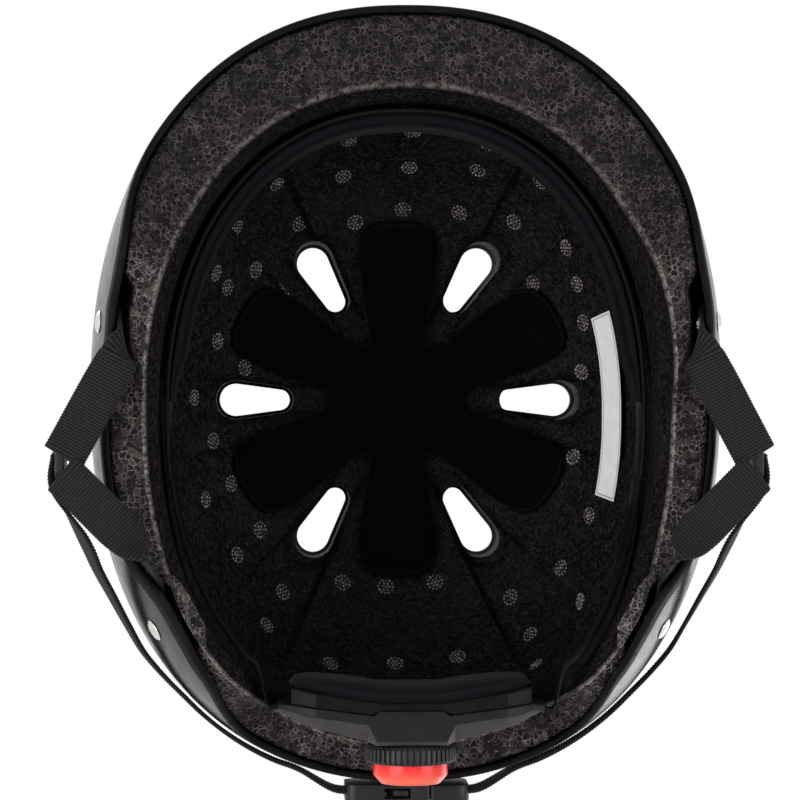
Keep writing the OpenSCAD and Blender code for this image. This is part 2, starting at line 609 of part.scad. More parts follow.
// The same list with k times as many places, on a smooth curve
function curve(a, b, c, d, t) = 0.5 * (2 * b + (c - a) * t + (2 * a - 5 * b + 4 * c - d) * t * t
    + (3 * b - a - 3 * c + d) * t * t * t);
function finer(st, k) = let (m = len(st) - 1) concat([for (i = [0 : m - 1], j = [0 : k - 1])
    let (a = st[max(0, i - 1)], b = st[i], c = st[i + 1], d = st[min(m, i + 2)])
    [curve(a[0], b[0], c[0], d[0], j / k), unit(curve(a[1], b[1], c[1], d[1], j / k))]], [st[m]]);
module leg_solid(st) {
    difference() {
        strip_solid(web_secs(finer(st, 5)));
        rivet_holes(shank_r + 0.1);
    }
}
module front_leg_right() {
    color([0.05, 0.05, 0.055]) leg_solid(front_leg);
}
module rear_leg_right() {
    color([0.05, 0.05, 0.055]) leg_solid(rear_leg);
}
module front_leg_left() {
    color([0.05, 0.05, 0.055]) mirror([1, 0, 0]) leg_solid(front_leg);
}
module rear_leg_left() {
    color([0.05, 0.05, 0.055]) mirror([1, 0, 0]) leg_solid(rear_leg);
}

// Side dividers, where the two legs of each side meet the chin strap
module divider_plate() {
    color([0.04, 0.04, 0.045]) translate([div_x, div_y, div_z]) rotate([0, 90, 0]) difference() {
        hull() for (q = [[-8, -5], [-8, 5], [6, -3], [6, 3]])
            translate([q[0], q[1], -1.6]) cylinder(h = 3.2, r = 2.5, $fn = 16);
        translate([-6.6, -web_w / 2 + 2.6, -3]) cube([1.8, web_w - 5.2, 6]);
    }
}
module right_divider() {
    divider_plate();
}
module left_divider() {
    mirror([1, 0, 0]) divider_plate();
}

// The buckled chin strap lies round the back of the shell
LOOP_Z = [[98, div_z + 4], [135, loop_z - 5], [165, loop_z], [180, loop_z]];
LOOP_E = [[98, 13], [124, 4], [140, web_t / 2 + 0.9], [180, web_t / 2 + 0.9]];
buckle_y = shell_y + shell_l / 2 + buckle_off;
slot_y = buckle_y + buckle_t / 2 - 0.4;
function loop_st(u) = let (z = tab(LOOP_Z, u))
    [wall(u, z) + out_n(u, z) * tab(LOOP_E, u), unit(wall(u, z + 5) - wall(u, z - 5))];
loop_half = concat([[[div_x + 1.9 + web_t / 2, div_y - 3, div_z + 2], [0, -0.2, 1]],
    [[div_x + 2 + web_t / 2, div_y + 8.4, div_z + 2.8], [0, -0.2, 1]]], [for (u = [108 : 5 : 163]) loop_st(u)],
    [[[buckle_l / 2 + 4, slot_y - 0.4, loop_z], [0, 0, 1]], [[buckle_l / 2 - 5, slot_y, loop_z], [0, 0, 1]]]);
module chin_strap_right() {
    color([0.05, 0.05, 0.055]) strip_solid(web_secs(loop_half));
}
module chin_strap_left() {
    color([0.05, 0.05, 0.055]) mirror([1, 0, 0]) strip_solid(web_secs(loop_half));
}

// Side release buckle: the halves meet at x = split
split = 8;
bh = buckle_w / 2;
mouth_h = bh - 2.4;
module buckle_side(x0, x1, r0, r1) {
    translate([0, buckle_y + buckle_t, loop_z]) rotate([90, 0, 0]) linear_extrude(buckle_t)
        hull() {
            translate([x0 + r0, -bh + r0]) circle(r0, $fn = 24);
            translate([x0 + r0, bh - r0]) circle(r0, $fn = 24);
            translate([x1 - r1, -bh + r1]) circle(r1, $fn = 24);
            translate([x1 - r1, bh - r1]) circle(r1, $fn = 24);
        }
}
module web_slot(x, s) {
    translate([s > 0 ? x : x - 8, slot_y - web_t / 2 - 0.25, loop_z - web_w / 2 - 0.4])
        cube([8, web_t + 0.5, web_w + 0.8]);
}
module buckle_female() {
    color([0.04, 0.04, 0.045]) difference() {
        buckle_side(-buckle_l / 2, split, 4, 1);
        translate([-11, buckle_y + 1.5, loop_z - mouth_h]) cube([split + 12, buckle_t - 3, mouth_h * 2]);
        translate([-8, buckle_y + 1.2, loop_z - bh - 1]) cube([9, buckle_t - 2.4, bh * 2 + 2]);
        web_slot(-buckle_l / 2 + 7, -1);
    }
}
module buckle_male() {
    color([0.04, 0.04, 0.045]) {
        difference() {
            buckle_side(split + 0.2, buckle_l / 2, 1, 4);
            web_slot(buckle_l / 2 - 7, 1);
        }
        translate([-8, buckle_y + 2, loop_z - 1.6]) cube([split + 10, buckle_t - 4, 3.2]);
    }
}
module buckle_prongs() {
    color([0.04, 0.04, 0.045]) for (s = [-1, 1]) translate([0, buckle_y + buckle_t - 1.9, loop_z]) scale([1, 1, s])
        rotate([90, 0, 0]) linear_extrude(buckle_t - 3.8) polygon([[split + 0.1, mouth_h - 3.4], [split + 0.1, mouth_h - 0.6],
            [0.8, mouth_h - 0.4], [0.4, bh - 0.4], [-4.5, bh - 0.7], [-7.4, mouth_h - 1.8], [-7, mouth_h - 3.6], [0, mouth_h - 3]]);
}

// A plain white sticker on the right of the foam
module size_label() {
    lab = [for (u = [70 : 4 : 106]) [for (q = [[24, 0.65], [33, 0.65], [33, 0.5], [24, 0.5]]) cavdome(u, q[0], q[1])]];
    color([0.9, 0.9, 0.9]) strip_solid(lab);
}

outer_shell();
eps_liner();
crown_pad();
hook_dots();
headband_ring();
band_pins();
brow_pad();
left_band();
right_band();
cradle_back();
cradle_front();
cradle_screws();
nape_pad();
left_rack();
right_rack();
pinion();
dial_screw();
dial_washer();
dial_wheel();
light_lens();
light_board();
light_switch();
leds();
coin_cell();
rivets();
rivet_washers();
front_leg_left();
front_leg_right();
rear_leg_left();
rear_leg_right();
left_divider();
right_divider();
chin_strap_left();
chin_strap_right();
buckle_female();
buckle_male();
buckle_prongs();
size_label();
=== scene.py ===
# %% [markdown]
# # A scooter helmet, looked at from inside
#
# The real object is a skate-style helmet: a thin glossy shell, a black bead-foam liner, soft dark pads, a
# plastic headband that a dial at the back tightens, a red light in the dial, and black webbing with a
# side-release buckle. The solids come from the CAD frame. This script keeps their sizes and gives each
# piece its real surface: the beads in the foam, the ribs of the webbing, the pressed edge of the pads.
#
# Lengths are written in millimetres, as a maker would measure them, and turned into metres at the end.

# %% Start from the packed frame
import math
import bpy
import bmesh
import numpy as np
from mathutils import Vector, Matrix


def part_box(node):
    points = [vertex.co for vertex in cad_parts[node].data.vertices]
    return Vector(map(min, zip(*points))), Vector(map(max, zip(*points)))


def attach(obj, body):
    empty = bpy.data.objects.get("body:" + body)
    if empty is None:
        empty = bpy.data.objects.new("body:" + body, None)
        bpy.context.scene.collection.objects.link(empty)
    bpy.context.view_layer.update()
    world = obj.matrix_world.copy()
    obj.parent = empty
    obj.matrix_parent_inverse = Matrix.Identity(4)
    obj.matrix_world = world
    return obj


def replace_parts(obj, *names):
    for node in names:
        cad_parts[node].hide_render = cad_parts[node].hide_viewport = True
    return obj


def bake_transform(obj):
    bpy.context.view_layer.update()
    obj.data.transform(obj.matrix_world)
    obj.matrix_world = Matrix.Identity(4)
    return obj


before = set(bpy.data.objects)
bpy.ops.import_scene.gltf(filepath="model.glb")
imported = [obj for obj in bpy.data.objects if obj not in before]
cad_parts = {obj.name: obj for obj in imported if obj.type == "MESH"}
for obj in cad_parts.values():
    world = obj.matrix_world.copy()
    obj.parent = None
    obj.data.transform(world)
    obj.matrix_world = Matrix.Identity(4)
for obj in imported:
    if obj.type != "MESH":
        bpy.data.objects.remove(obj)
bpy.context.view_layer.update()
MM = 0.001

# %% [markdown]
# ## The camera
#
# The photograph looks straight into the head space, with the brow at the top of the picture. The crown lies
# away from the camera, so the camera stands below the rim and looks up. It stands a little to the wearer's
# right, which is why the outside of the shell shows on that side only. A long lens at 1.1 m keeps the
# perspective as gentle as in the photograph. A tilt of the whole picture would be another way to show the
# side of the shell, but then the round vents would lean the wrong way.

# %% Camera at the photograph's angle
TILT = math.radians(2.5)
LENS_TO_RIM = 1.1
PICTURE_WIDTH, SENSOR_WIDTH = 800, 36
PIXELS_PER_MM = 2.93


def placed(name, data):
    """A new object with its data, linked into the scene."""
    thing = bpy.data.objects.new(name, data)
    bpy.context.scene.collection.objects.link(thing)
    return thing


aim = Vector((-0.00435, -0.0018, 0.0))
looking = Vector((math.sin(TILT), 0.0, math.cos(TILT)))
picture_up = Vector((0.0, -1.0, 0.0))
picture_right = looking.cross(picture_up)
stand = aim - LENS_TO_RIM * looking

camera = placed("camera", bpy.data.cameras.new("camera"))
camera.matrix_world = Matrix((
    (picture_right.x, picture_up.x, -looking.x, stand.x),
    (picture_right.y, picture_up.y, -looking.y, stand.y),
    (picture_right.z, picture_up.z, -looking.z, stand.z),
    (0, 0, 0, 1)))
camera.data.sensor_width = SENSOR_WIDTH
camera.data.lens = SENSOR_WIDTH * PIXELS_PER_MM * (LENS_TO_RIM / MM) / PICTURE_WIDTH
camera.data.clip_start, camera.data.clip_end = 0.05, 20
bpy.context.scene.camera = camera
print("camera at", [round(x, 3) for x in camera.location], "lens", round(camera.data.lens, 1), "mm")

# %% [markdown]
# ## Light and background
#
# The photograph has soft light from the camera's side and a white background. The world is white where the
# camera, a reflection or a clear piece sees it, and dimmer where it lights the helmet, so that black stays
# black. Large square lamps below and above give the soft shapes in the gloss. The pale floor is a plain
# sheet under the rim: it is clear from below, as the camera looks up through it, and it shows the helmet's
# shadow from above.

# %% The world
WORLD_LIGHT, WORLD_SEEN = 0.4, 1.0


def new_node(tree, kind, links=(), **settings):
    """A shader node with its settings, and with links from other nodes' outputs into its sockets."""
    n = tree.nodes.new("ShaderNode" + kind)
    for key, value in settings.items():
        socket = key.replace("_", " ")
        if socket in n.inputs:
            n.inputs[socket].default_value = value
        else:
            setattr(n, key, value)
    for source, socket in links:
        tree.links.new(source, n.inputs[socket])
    return n


def seen_directly(tree):
    """1 for what the camera, a reflection or a clear piece shows, 0 where it only gives light."""
    rays = new_node(tree, "LightPath").outputs
    seen = new_node(tree, "Math", [(rays["Is Camera Ray"], 0), (rays["Is Glossy Ray"], 1)], operation="MAXIMUM")
    clear = [(seen.outputs[0], 0), (rays["Is Transmission Ray"], 1)]
    return new_node(tree, "Math", clear, operation="MAXIMUM").outputs[0]


world = bpy.data.worlds.new("white studio")
bpy.context.scene.world = world
world.use_nodes = True
sky = world.node_tree.nodes["Background"]
sky.inputs["Color"].default_value = (1, 1, 1, 1)
strength = new_node(world.node_tree, "MapRange", [(seen_directly(world.node_tree), "Value")],
                    To_Min=WORLD_LIGHT, To_Max=WORLD_SEEN)
world.node_tree.links.new(strength.outputs["Result"], sky.inputs["Strength"])
bpy.context.scene.view_settings.view_transform = "Standard"
print("world: lights with", WORLD_LIGHT, "and is seen as", WORLD_SEEN)


# %% Lamps
def lamp(name, place, target, size, watts):
    """A square soft box at a place, turned to its target."""
    light = bpy.data.lights.new(name, "AREA")
    light.shape, light.size, light.energy = "SQUARE", size, watts
    thing = placed(name, light)
    thing.location = place
    thing.rotation_mode = "QUATERNION"
    thing.rotation_quaternion = (Vector(target) - Vector(place)).to_track_quat("-Z", "Y")
    return thing


middle_of_helmet = (0.0, 0.0, 0.08)
lamps = [
    lamp("key below", (0.86, 0.1, -0.65), middle_of_helmet, 0.7, 6.5),
    lamp("fill below", (-0.8, 0.1, -0.72), middle_of_helmet, 0.8, 9.5),
    lamp("key above", (-0.7, -0.8, 1.1), middle_of_helmet, 0.8, 6),
    lamp("fill above", (0.9, 0.5, 0.9), middle_of_helmet, 0.9, 4)]
print("lamps:", [thing.name for thing in lamps])

# %% The pale floor
FLOOR_HALF, FLOOR_Z, FLOOR_GLOW = 3, -0.0003, 0.3

floor_mesh = bpy.data.meshes.new("floor")
corners = [(x * FLOOR_HALF, y * FLOOR_HALF, FLOOR_Z) for x, y in ((-1, -1), (1, -1), (1, 1), (-1, 1))]
floor_mesh.from_pydata(corners, [], [(0, 1, 2, 3)])
floor = placed("floor", floor_mesh)
floor_paint = bpy.data.materials.new("pale floor")
floor_paint.use_nodes = True
tree = floor_paint.node_tree
matt = tree.nodes["Principled BSDF"]
matt.inputs["Base Color"].default_value = (0.86, 0.86, 0.86, 1)
matt.inputs["Roughness"].default_value = 0.9
glow_share = new_node(tree, "Math", [(seen_directly(tree), 0)], operation="MULTIPLY")
glow_share.inputs[1].default_value = FLOOR_GLOW
glow = new_node(tree, "Emission", [(glow_share.outputs[0], "Strength")])
from_above = new_node(tree, "AddShader", [(matt.outputs[0], 0), (glow.outputs[0], 1)])
from_below = new_node(tree, "BsdfTransparent")
underside = new_node(tree, "NewGeometry").outputs["Backfacing"]
choose = new_node(tree, "MixShader", [(underside, "Fac"), (from_above.outputs[0], 1), (from_below.outputs[0], 2)])
tree.links.new(choose.outputs[0], tree.nodes["Material Output"].inputs["Surface"])
floor_mesh.materials.append(floor_paint)
floor.visible_shadow = False
floor.visible_diffuse = False
floor.visible_glossy = False
print("floor:", 2 * FLOOR_HALF, "m wide, at z =", FLOOR_Z)

# %% [markdown]
# ## The helmet's own shape
#
# Every surface of the helmet is a superellipse: rounder than a box, fuller than an ellipse. One angle runs
# round the helmet from the brow (0) past the wearer's left ear (90) to the back (180), and one height runs
# up. The CAD frame uses the same curves with few facets. Here they are drawn again as functions, so that
# the shown pieces can have many more points on exactly the same surface.

# %% Sizes of the shell and the head space, in millimetres
SHELL_W, SHELL_L, SHELL_H, SHELL_T = 225.0, 274.0, 160.0, 2.6
CAV_W, CAV_L, CAV_H, CAV_Z0 = 176.0, 223.0, 130.0, 45.0
BULGE, BROW, EAR, BACK = 58.0, 26.0, 20.0, 36.0
WEB_W, WEB_T, BUCKLE_OFF, BUCKLE_T = 15.0, 1.4, 0.6, 6.0
FIT, RECESS, CHANNEL, CAV_BACK = 0.3, 1.5, 3.0, 7.2
SHELL_N, CAV_N, CAV_DOME_N = 2.25, 2.2, 2.3
SHELL_Y = -(BUCKLE_OFF + BUCKLE_T) / 2
CAV_Y = SHELL_Y + CAV_BACK
CROWN_Y = SHELL_Y + CAV_BACK * 0.2
LINER_D = SHELL_T + FIT + 0.25
RIM = [(0, BROW), (50, BROW - 3), (70, 0), (75, 0), (80, 4), (92, EAR), (108, EAR), (125, 0), (130, 0),
       (138, 3), (154, BACK), (180, BACK)]
TUCK = [(0, 1), (50, 3), (75, 8), (95, 13), (125, 14.5), (145, 13), (180, 7)]
print("foam at the crown:", round(SHELL_H - LINER_D - CAV_H, 1), "mm thick")


# %% Curves that the surfaces are made of
def smooth(t):
    """0 up to t = 0, 1 from t = 1 on, and an eased rise between."""
    t = np.clip(t, 0, 1)
    return t * t * (3 - 2 * t)


def stepped(table, x):
    """A curve that eases from each value of a table to the next."""
    xs, ys = np.array([p[0] for p in table], float), np.array([p[1] for p in table], float)
    x = np.clip(np.asarray(x, float), xs[0], xs[-1])
    i = np.clip(np.searchsorted(xs, x, side="left") - 1, 0, len(xs) - 2)
    return ys[i] + (ys[i + 1] - ys[i]) * smooth((x - xs[i]) / (xs[i + 1] - xs[i]))


def power(v, n):
    return np.sign(v) * np.abs(v) ** (2 / n)


def fold(u):
    """An angle round the helmet as its mirror image on the left half, from 0 to 180."""
    w = np.mod(u, 360.0)
    return np.where(w > 180, 360 - w, w)


def plan(u, half_w, half_l, n):
    a = np.radians(u)
    return half_w * power(np.sin(a), n), -half_l * power(np.cos(a), n)


def rim(u):
    return stepped(RIM, fold(u))


def unit(v):
    return v / np.linalg.norm(v, axis=-1, keepdims=True)


print("rim heights round the helmet:", [float(round(rim(a), 1)) for a in (0, 60, 72, 100, 127, 180)])


# %% The shell's surface
def wall(u, z, d=0.0):
    """A point of the shell's outside at angle u and height z, or d further in."""
    u, z, d = np.broadcast_arrays(np.asarray(u, float), np.asarray(z, float), np.asarray(d, float))
    x, y = plan(u, SHELL_W / 2 - d, SHELL_L / 2 - d, SHELL_N)
    top = SHELL_H - d - BULGE
    up = np.maximum(0, 1 - np.clip((z - BULGE) / top, 0, 1) ** SHELL_N) ** (1 / SHELL_N)
    tuck = 1 - stepped(TUCK, fold(u)) / np.hypot(x, y) * (np.maximum(BULGE - z, 0) / BULGE) ** 2
    k = np.where(z > BULGE, up, tuck)
    return np.stack([x * k, y * k + SHELL_Y, z], -1)


def dome(u, rise, d=0.0):
    """The same surface above its widest height, by an angle that rises to 90 at the crown."""
    u, rise = np.broadcast_arrays(np.asarray(u, float), np.asarray(rise, float))
    x, y = plan(u, SHELL_W / 2 - d, SHELL_L / 2 - d, SHELL_N)
    k = np.cos(np.radians(rise)) ** (2 / SHELL_N)
    z = BULGE + (SHELL_H - d - BULGE) * np.sin(np.radians(rise)) ** (2 / SHELL_N)
    return np.stack([x * k, y * k + SHELL_Y, z], -1)


def outward(u, z):
    return unit(np.cross(wall(u + 1, z) - wall(u - 1, z), wall(u, z + 1) - wall(u, z - 1)))


widest = 2 * wall(90, BULGE)[0], wall(180, BULGE)[1] - wall(0, BULGE)[1]
print("shell at its widest:", [round(float(x)) for x in widest])


# %% The head space's surface
def cav(u, z, e=0.0):
    """A point of the head space's wall, or e further into the head space."""
    u, z, e = np.broadcast_arrays(np.asarray(u, float), np.asarray(z, float), np.asarray(e, float))
    x, y = plan(u, CAV_W / 2 - e, CAV_L / 2 - e, CAV_N)
    up = np.maximum(0, 1 - np.clip((z - CAV_Z0) / (CAV_H - e - CAV_Z0), 0, 1) ** CAV_DOME_N) ** (1 / CAV_DOME_N)
    k = np.where(z > CAV_Z0, up, 1.0)
    return np.stack([x * k, y * k + CAV_Y, z], -1)


def cavdome(u, rise, e=0.0):
    """The same surface above its straight part, by an angle that rises to 90 at the crown."""
    u, rise, e = np.broadcast_arrays(np.asarray(u, float), np.asarray(rise, float), np.asarray(e, float))
    x, y = plan(u, CAV_W / 2 - e, CAV_L / 2 - e, CAV_N)
    k = np.cos(np.radians(rise)) ** (2 / CAV_DOME_N)
    z = CAV_Z0 + (CAV_H - e - CAV_Z0) * np.sin(np.radians(rise)) ** (2 / CAV_DOME_N)
    return np.stack([x * k, y * k + CAV_Y, z], -1)


def cav_top(x, y, e=0.0):
    """The head space's height over a place in plan."""
    q = (np.abs(x) / (CAV_W / 2 - e)) ** CAV_N + (np.abs(y - CAV_Y) / (CAV_L / 2 - e)) ** CAV_N
    k = q ** (1 / CAV_N)
    return CAV_Z0 + (CAV_H - e - CAV_Z0) * np.maximum(0, 1 - np.clip(k, 0, 1) ** CAV_DOME_N) ** (1 / CAV_DOME_N)


print("head space over the middle:", round(float(cav_top(0.0, CAV_Y)), 1), "mm high")

# %% [markdown]
# ## Turning curves into meshes
#
# Most pieces here are rings of points joined by four-sided faces: a skin. A skin is easy to control, because
# every row of points has a meaning, such as the lip or the crown. Sculpting or subdividing a rough form
# would be quicker to start, but would drift from the frame's sizes.

# %% From rings of points to an object
def tidy(thing, sharp=40):
    """Turns all faces outward and smooths them, apart from edges sharper than an angle."""
    form = bmesh.new()
    form.from_mesh(thing.data)
    bmesh.ops.recalc_face_normals(form, faces=form.faces)
    form.to_mesh(thing.data)
    form.free()
    thing.data.polygons.foreach_set("use_smooth", [True] * len(thing.data.polygons))
    thing.data.set_sharp_from_angle(angle=math.radians(sharp))


def new_piece(name, points, faces, sharp=40):
    """A shown object from points in millimetres and faces."""
    mesh = bpy.data.meshes.new(name)
    corners = [tuple(p) for p in np.asarray(points, float) * MM]
    mesh.from_pydata(corners, [], [tuple(int(i) for i in f) for f in faces])
    mesh.validate()
    thing = placed(name, mesh)
    tidy(thing, sharp)
    return thing


def skin(rings, first=None, last=None):
    """Points and faces of a closed skin over rings of equal length, with a point or a flat face at each end."""
    rings = np.asarray(rings, float)
    m, n = rings.shape[:2]
    points = list(rings.reshape(-1, 3))
    j, i = np.meshgrid(np.arange(m - 1), np.arange(n), indexing="ij")
    a, k = j * n + i, j * n + (i + 1) % n
    faces = [tuple(f) for f in np.stack([a, k, k + n, a + n], -1).reshape(-1, 4)]
    for end, ring, flip in ((first, 0, True), (last, m - 1, False)):
        base = ring * n
        if end is not None:
            points.append(np.asarray(end, float))
            tip = len(points) - 1
            for q in range(n):
                here, after = base + q, base + (q + 1) % n
                faces.append((tip, after, here) if flip else (tip, here, after))
        else:
            faces.append(tuple(range(base + n - 1, base - 1, -1)) if flip else tuple(range(base, base + n)))
    return points, faces


tube_points, tube_faces = skin([[(0, 0, z), (1, 0, z), (0, 1, z)] for z in (0, 1)])
print("a skin over two rings of three points:", len(tube_points), "points,", len(tube_faces), "faces")


# %% Working on a piece
def applied(thing):
    """Makes what an object's modifiers show into its own mesh."""
    graph = bpy.context.evaluated_depsgraph_get()
    shown = bpy.data.meshes.new_from_object(thing.evaluated_get(graph))
    old = thing.data
    thing.modifiers.clear()
    thing.data = shown
    bpy.data.meshes.remove(old)
    return thing


def cut(thing, cutter, sharp=40):
    """Cuts one object's form out of another and removes the cutter."""
    tool = thing.modifiers.new("cut", "BOOLEAN")
    tool.operation, tool.object, tool.solver = "DIFFERENCE", cutter, "EXACT"
    applied(thing)
    bpy.data.objects.remove(cutter)
    tidy(thing, sharp)
    return thing


def eased(thing, width_mm, corner, sharp):
    """Rounds every edge sharper than a corner angle, as a mould's edges are rounded."""
    edge = thing.modifiers.new("eased edges", "BEVEL")
    edge.width, edge.segments = width_mm * MM, 3
    edge.limit_method, edge.angle_limit = "ANGLE", math.radians(corner)
    applied(thing)
    tidy(thing, sharp)
    return thing


def stored(thing, name, values):
    """Stores a number at each point of a piece's mesh, for its material to read."""
    layer = thing.data.attributes.new(name, "FLOAT", "POINT")
    layer.data.foreach_set("value", np.asarray(values, float))


def seat(thing, body, paint, *nodes, slot=None):
    """Lets a piece ride on its body, gives it its material and hides the CAD nodes that it stands for."""
    thing.data.materials.clear()
    thing.data.materials.append(paint)
    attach(thing, body)
    if nodes:
        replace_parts(thing, *nodes)
    return thing


def box_mm(node):
    """The lowest and highest corner of a CAD node at rest, in millimetres."""
    low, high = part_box(node)
    return np.array(low) / MM, np.array(high) / MM


print("liner's box in mm:", [[float(round(x, 1)) for x in corner] for corner in box_mm("eps_liner")])


# %% [markdown]
# ## Materials: how they are made
#
# A finish is more than a colour. Each material below starts from the general Principled shader, and small
# procedural textures in the object's own space change its colour, roughness and bump at the real scale.
# Image textures could show more, but procedural ones need no file, never repeat and work at any distance.
# A few helper functions keep each recipe short.

# %% Colours as written and as shaders need them
def tone(code):
    """A colour as seen on a screen, such as 2b2826, as the linear colour that a shader needs."""
    raw = [int(code[i:i + 2], 16) / 255 for i in (0, 2, 4)]
    return [x / 12.92 if x <= 0.04045 else ((x + 0.055) / 1.055) ** 2.4 for x in raw] + [1.0]


print("2b2826 in linear values:", [round(x, 3) for x in tone("2b2826")])


# %% A material with short names for its nodes
class Finish:
    """A Principled material, and the few kinds of node that these recipes use."""

    def __init__(self, name, colour, rough, **sockets):
        self.material = bpy.data.materials.new(name)
        self.material.use_nodes = True
        self.tree = self.material.node_tree
        self.shader = self.tree.nodes["Principled BSDF"]
        self.shader.inputs["Base Color"].default_value = tone(colour)
        self.shader.inputs["Roughness"].default_value = rough
        for socket, value in sockets.items():
            self.shader.inputs[socket.replace("_", " ")].default_value = value
        self.place = new_node(self.tree, "TexCoord").outputs["Object"]

    def add(self, kind, links=(), **settings):
        return new_node(self.tree, kind, links, **settings)

    def set_or_link(self, socket, thing):
        if isinstance(thing, str):
            socket.default_value = tone(thing)
        elif isinstance(thing, (int, float)):
            socket.default_value = thing
        else:
            self.tree.links.new(thing, socket)

    def noise(self, per_metre, detail=3.0, roughness=0.55):
        cloud = self.add("TexNoise", [(self.place, "Vector")], Scale=per_metre, Detail=detail, Roughness=roughness)
        return cloud.outputs["Fac"]

    def cells(self, per_metre, vector=None, **settings):
        where = self.place if vector is None else vector
        return self.add("TexVoronoi", [(where, "Vector")], Scale=per_metre, **settings).outputs

    def stored(self, name):
        return self.add("Attribute", attribute_name=name).outputs["Fac"]

    def ramp(self, value, *stops):
        """A colour for each value. A stop is a place with a colour code, or with a number for a grey."""
        n = self.add("ValToRGB", [(value, 0)])
        while len(n.color_ramp.elements) < len(stops):
            n.color_ramp.elements.new(0.5)
        for element, (place, colour) in zip(n.color_ramp.elements, stops):
            element.position = place
            element.color = tone(colour) if isinstance(colour, str) else (colour, colour, colour, 1)
        return n.outputs["Color"]

    def grey(self, value, low_at, high_at, low, high):
        """A number that goes from low to high as the value goes from low_at to high_at."""
        n = self.add("MapRange", [(value, "Value")], From_Min=low_at, From_Max=high_at, To_Min=low, To_Max=high)
        return n.outputs["Result"]

    def mix(self, share, a, b):
        n = self.add("Mix", data_type="RGBA")
        for key, thing in (("Factor", share), ("A", a), ("B", b)):
            kind = "VALUE" if key == "Factor" else "RGBA"
            self.set_or_link([socket for socket in n.inputs if socket.name == key and socket.type == kind][0], thing)
        return [socket for socket in n.outputs if socket.type == "RGBA"][0]

    def maths(self, what, a, b):
        n = self.add("Math", operation=what)
        for socket, thing in zip(n.inputs, (a, b)):
            self.set_or_link(socket, thing)
        return n.outputs[0]

    def colour(self, source):
        self.tree.links.new(source, self.shader.inputs["Base Color"])

    def rough(self, source):
        self.tree.links.new(source, self.shader.inputs["Roughness"])

    def bump(self, height, depth_mm, strength=1.0, after=None):
        n = self.add("Bump", [(height, "Height")], Distance=depth_mm * MM, Strength=strength)
        if after is not None:
            self.tree.links.new(after.outputs["Normal"], n.inputs["Normal"])
        self.tree.links.new(n.outputs["Normal"], self.shader.inputs["Normal"])
        return n


print("a finish can use:", [name for name in vars(Finish) if not name.startswith("_")])

# %% [markdown]
# ## Glossy shell and bead foam
#
# The shell is black plastic with a smooth gloss: fine dust and handling marks only change its roughness.
# The lip's edge is rubbed matt and a little brown. The liner is expanded bead foam. On the rim the beads
# were pressed flat, so each cell shows as a dark patch with a lighter wall, about 2 mm across; sparse pale
# specks there are painted highlights. The rim's inner edge is worn pale. Its sides and back are painted
# lighter than the brow: that is painted light, for the light that falls more strongly there. Inside, the
# mould left the skin smoother and darker; pale bead walls there are painted glints, and paler patches are
# partly wear and partly painted gloss. Masks stored on the mesh say which look a point has. Separate meshes
# could do the same, but would show a seam.

# %% Shell finishes
gloss = Finish("glossy black shell", "0c0b0b", 0.25, Specular_IOR_Level=0.16)
gloss.colour(gloss.ramp(gloss.noise(55, 5), (0.3, "090808"), (0.75, "12100f")))
gloss.rough(gloss.grey(gloss.noise(160, 6, 0.65), 0.35, 0.75, 0.2, 0.34))
gloss.bump(gloss.noise(90, 2), 0.02, 0.25)

lip_paint = Finish("rubbed shell lip", "0a0909", 0.5, Specular_IOR_Level=0.06)
lip_paint.colour(lip_paint.ramp(lip_paint.noise(260, 5, 0.7), (0.35, "080707"), (0.65, "14110f"), (0.85, "2a2624")))
lip_paint.rough(lip_paint.grey(lip_paint.noise(400, 4), 0.3, 0.7, 0.42, 0.62))
lip_paint.bump(lip_paint.noise(700, 3), 0.03, 0.4)
print("shell finishes:", gloss.material.name, "and", lip_paint.material.name)

# %% Foam on the rim
RIM_BEADS, INNER_BEADS = 480.0, 560.0

foam = Finish("bead foam", "2b2725", 0.75, Specular_IOR_Level=0.08)
wobble = foam.add("TexNoise", [(foam.place, "Vector")], Scale=260.0, Detail=2.0).outputs["Color"]
both = [(foam.place, "Color1"), (wobble, "Color2")]
bent = foam.add("MixRGB", both, blend_type="LINEAR_LIGHT", Fac=0.0011).outputs[0]
beads = foam.cells(RIM_BEADS, bent, Randomness=0.85)
walls = foam.cells(RIM_BEADS, bent, feature="DISTANCE_TO_EDGE", Randomness=0.85)
bead_shade = foam.add("SeparateColor", [(beads["Color"], 0)]).outputs[0]
bead_tone = foam.ramp(bead_shade, (0.0, "0c0a0a"), (0.5, "181515"), (0.85, "252121"), (1.0, "383332"))
wall_share = foam.ramp(walls["Distance"], (0.0, 1.0), (0.05, 0.5), (0.11, 0.0))
wall_share = foam.maths("MULTIPLY", wall_share, foam.grey(foam.noise(150, 4, 0.75), 0.42, 0.66, 0.04, 1.0))
# Painted highlights: sparse pale specks on the rim, as glints on single beads.
painted_glint_specks = foam.maths("MULTIPLY", foam.ramp(foam.noise(1500, 2, 0.6), (0.66, 0.0), (0.74, 1.0)), 0.6)
rim_tone = foam.mix(painted_glint_specks, foam.mix(wall_share, bead_tone, "6f6866"), "b0a9a6")
print("rim beads:", round(1 / RIM_BEADS / MM, 1), "mm across")

# %% Wear on the rim, and painted light on its sides and back
worn_patches = foam.grey(foam.noise(420, 6, 0.8), 0.44, 0.6, 0.0, 1.0)
worn_share = foam.maths("MULTIPLY", foam.stored("worn_edge"), worn_patches)
rim_tone = foam.mix(worn_share, rim_tone, "7c7572")
# Painted light: the rim's tone is scaled from 0.72 at the brow to 1.6 at the sides and back, where it is lit more
# brightly.
toward_back = foam.add("SeparateXYZ", [(foam.place, "Vector")]).outputs["Y"]
painted_light_by_place = foam.grey(toward_back, -0.085, -0.03, 0.72, 1.6)
rim_tone = foam.add("VectorMath", [(rim_tone, 0), (painted_light_by_place, "Scale")], operation="SCALE").outputs[0]
print("rim: 0.72 of its tone at the brow, 1.6 at the sides and back")

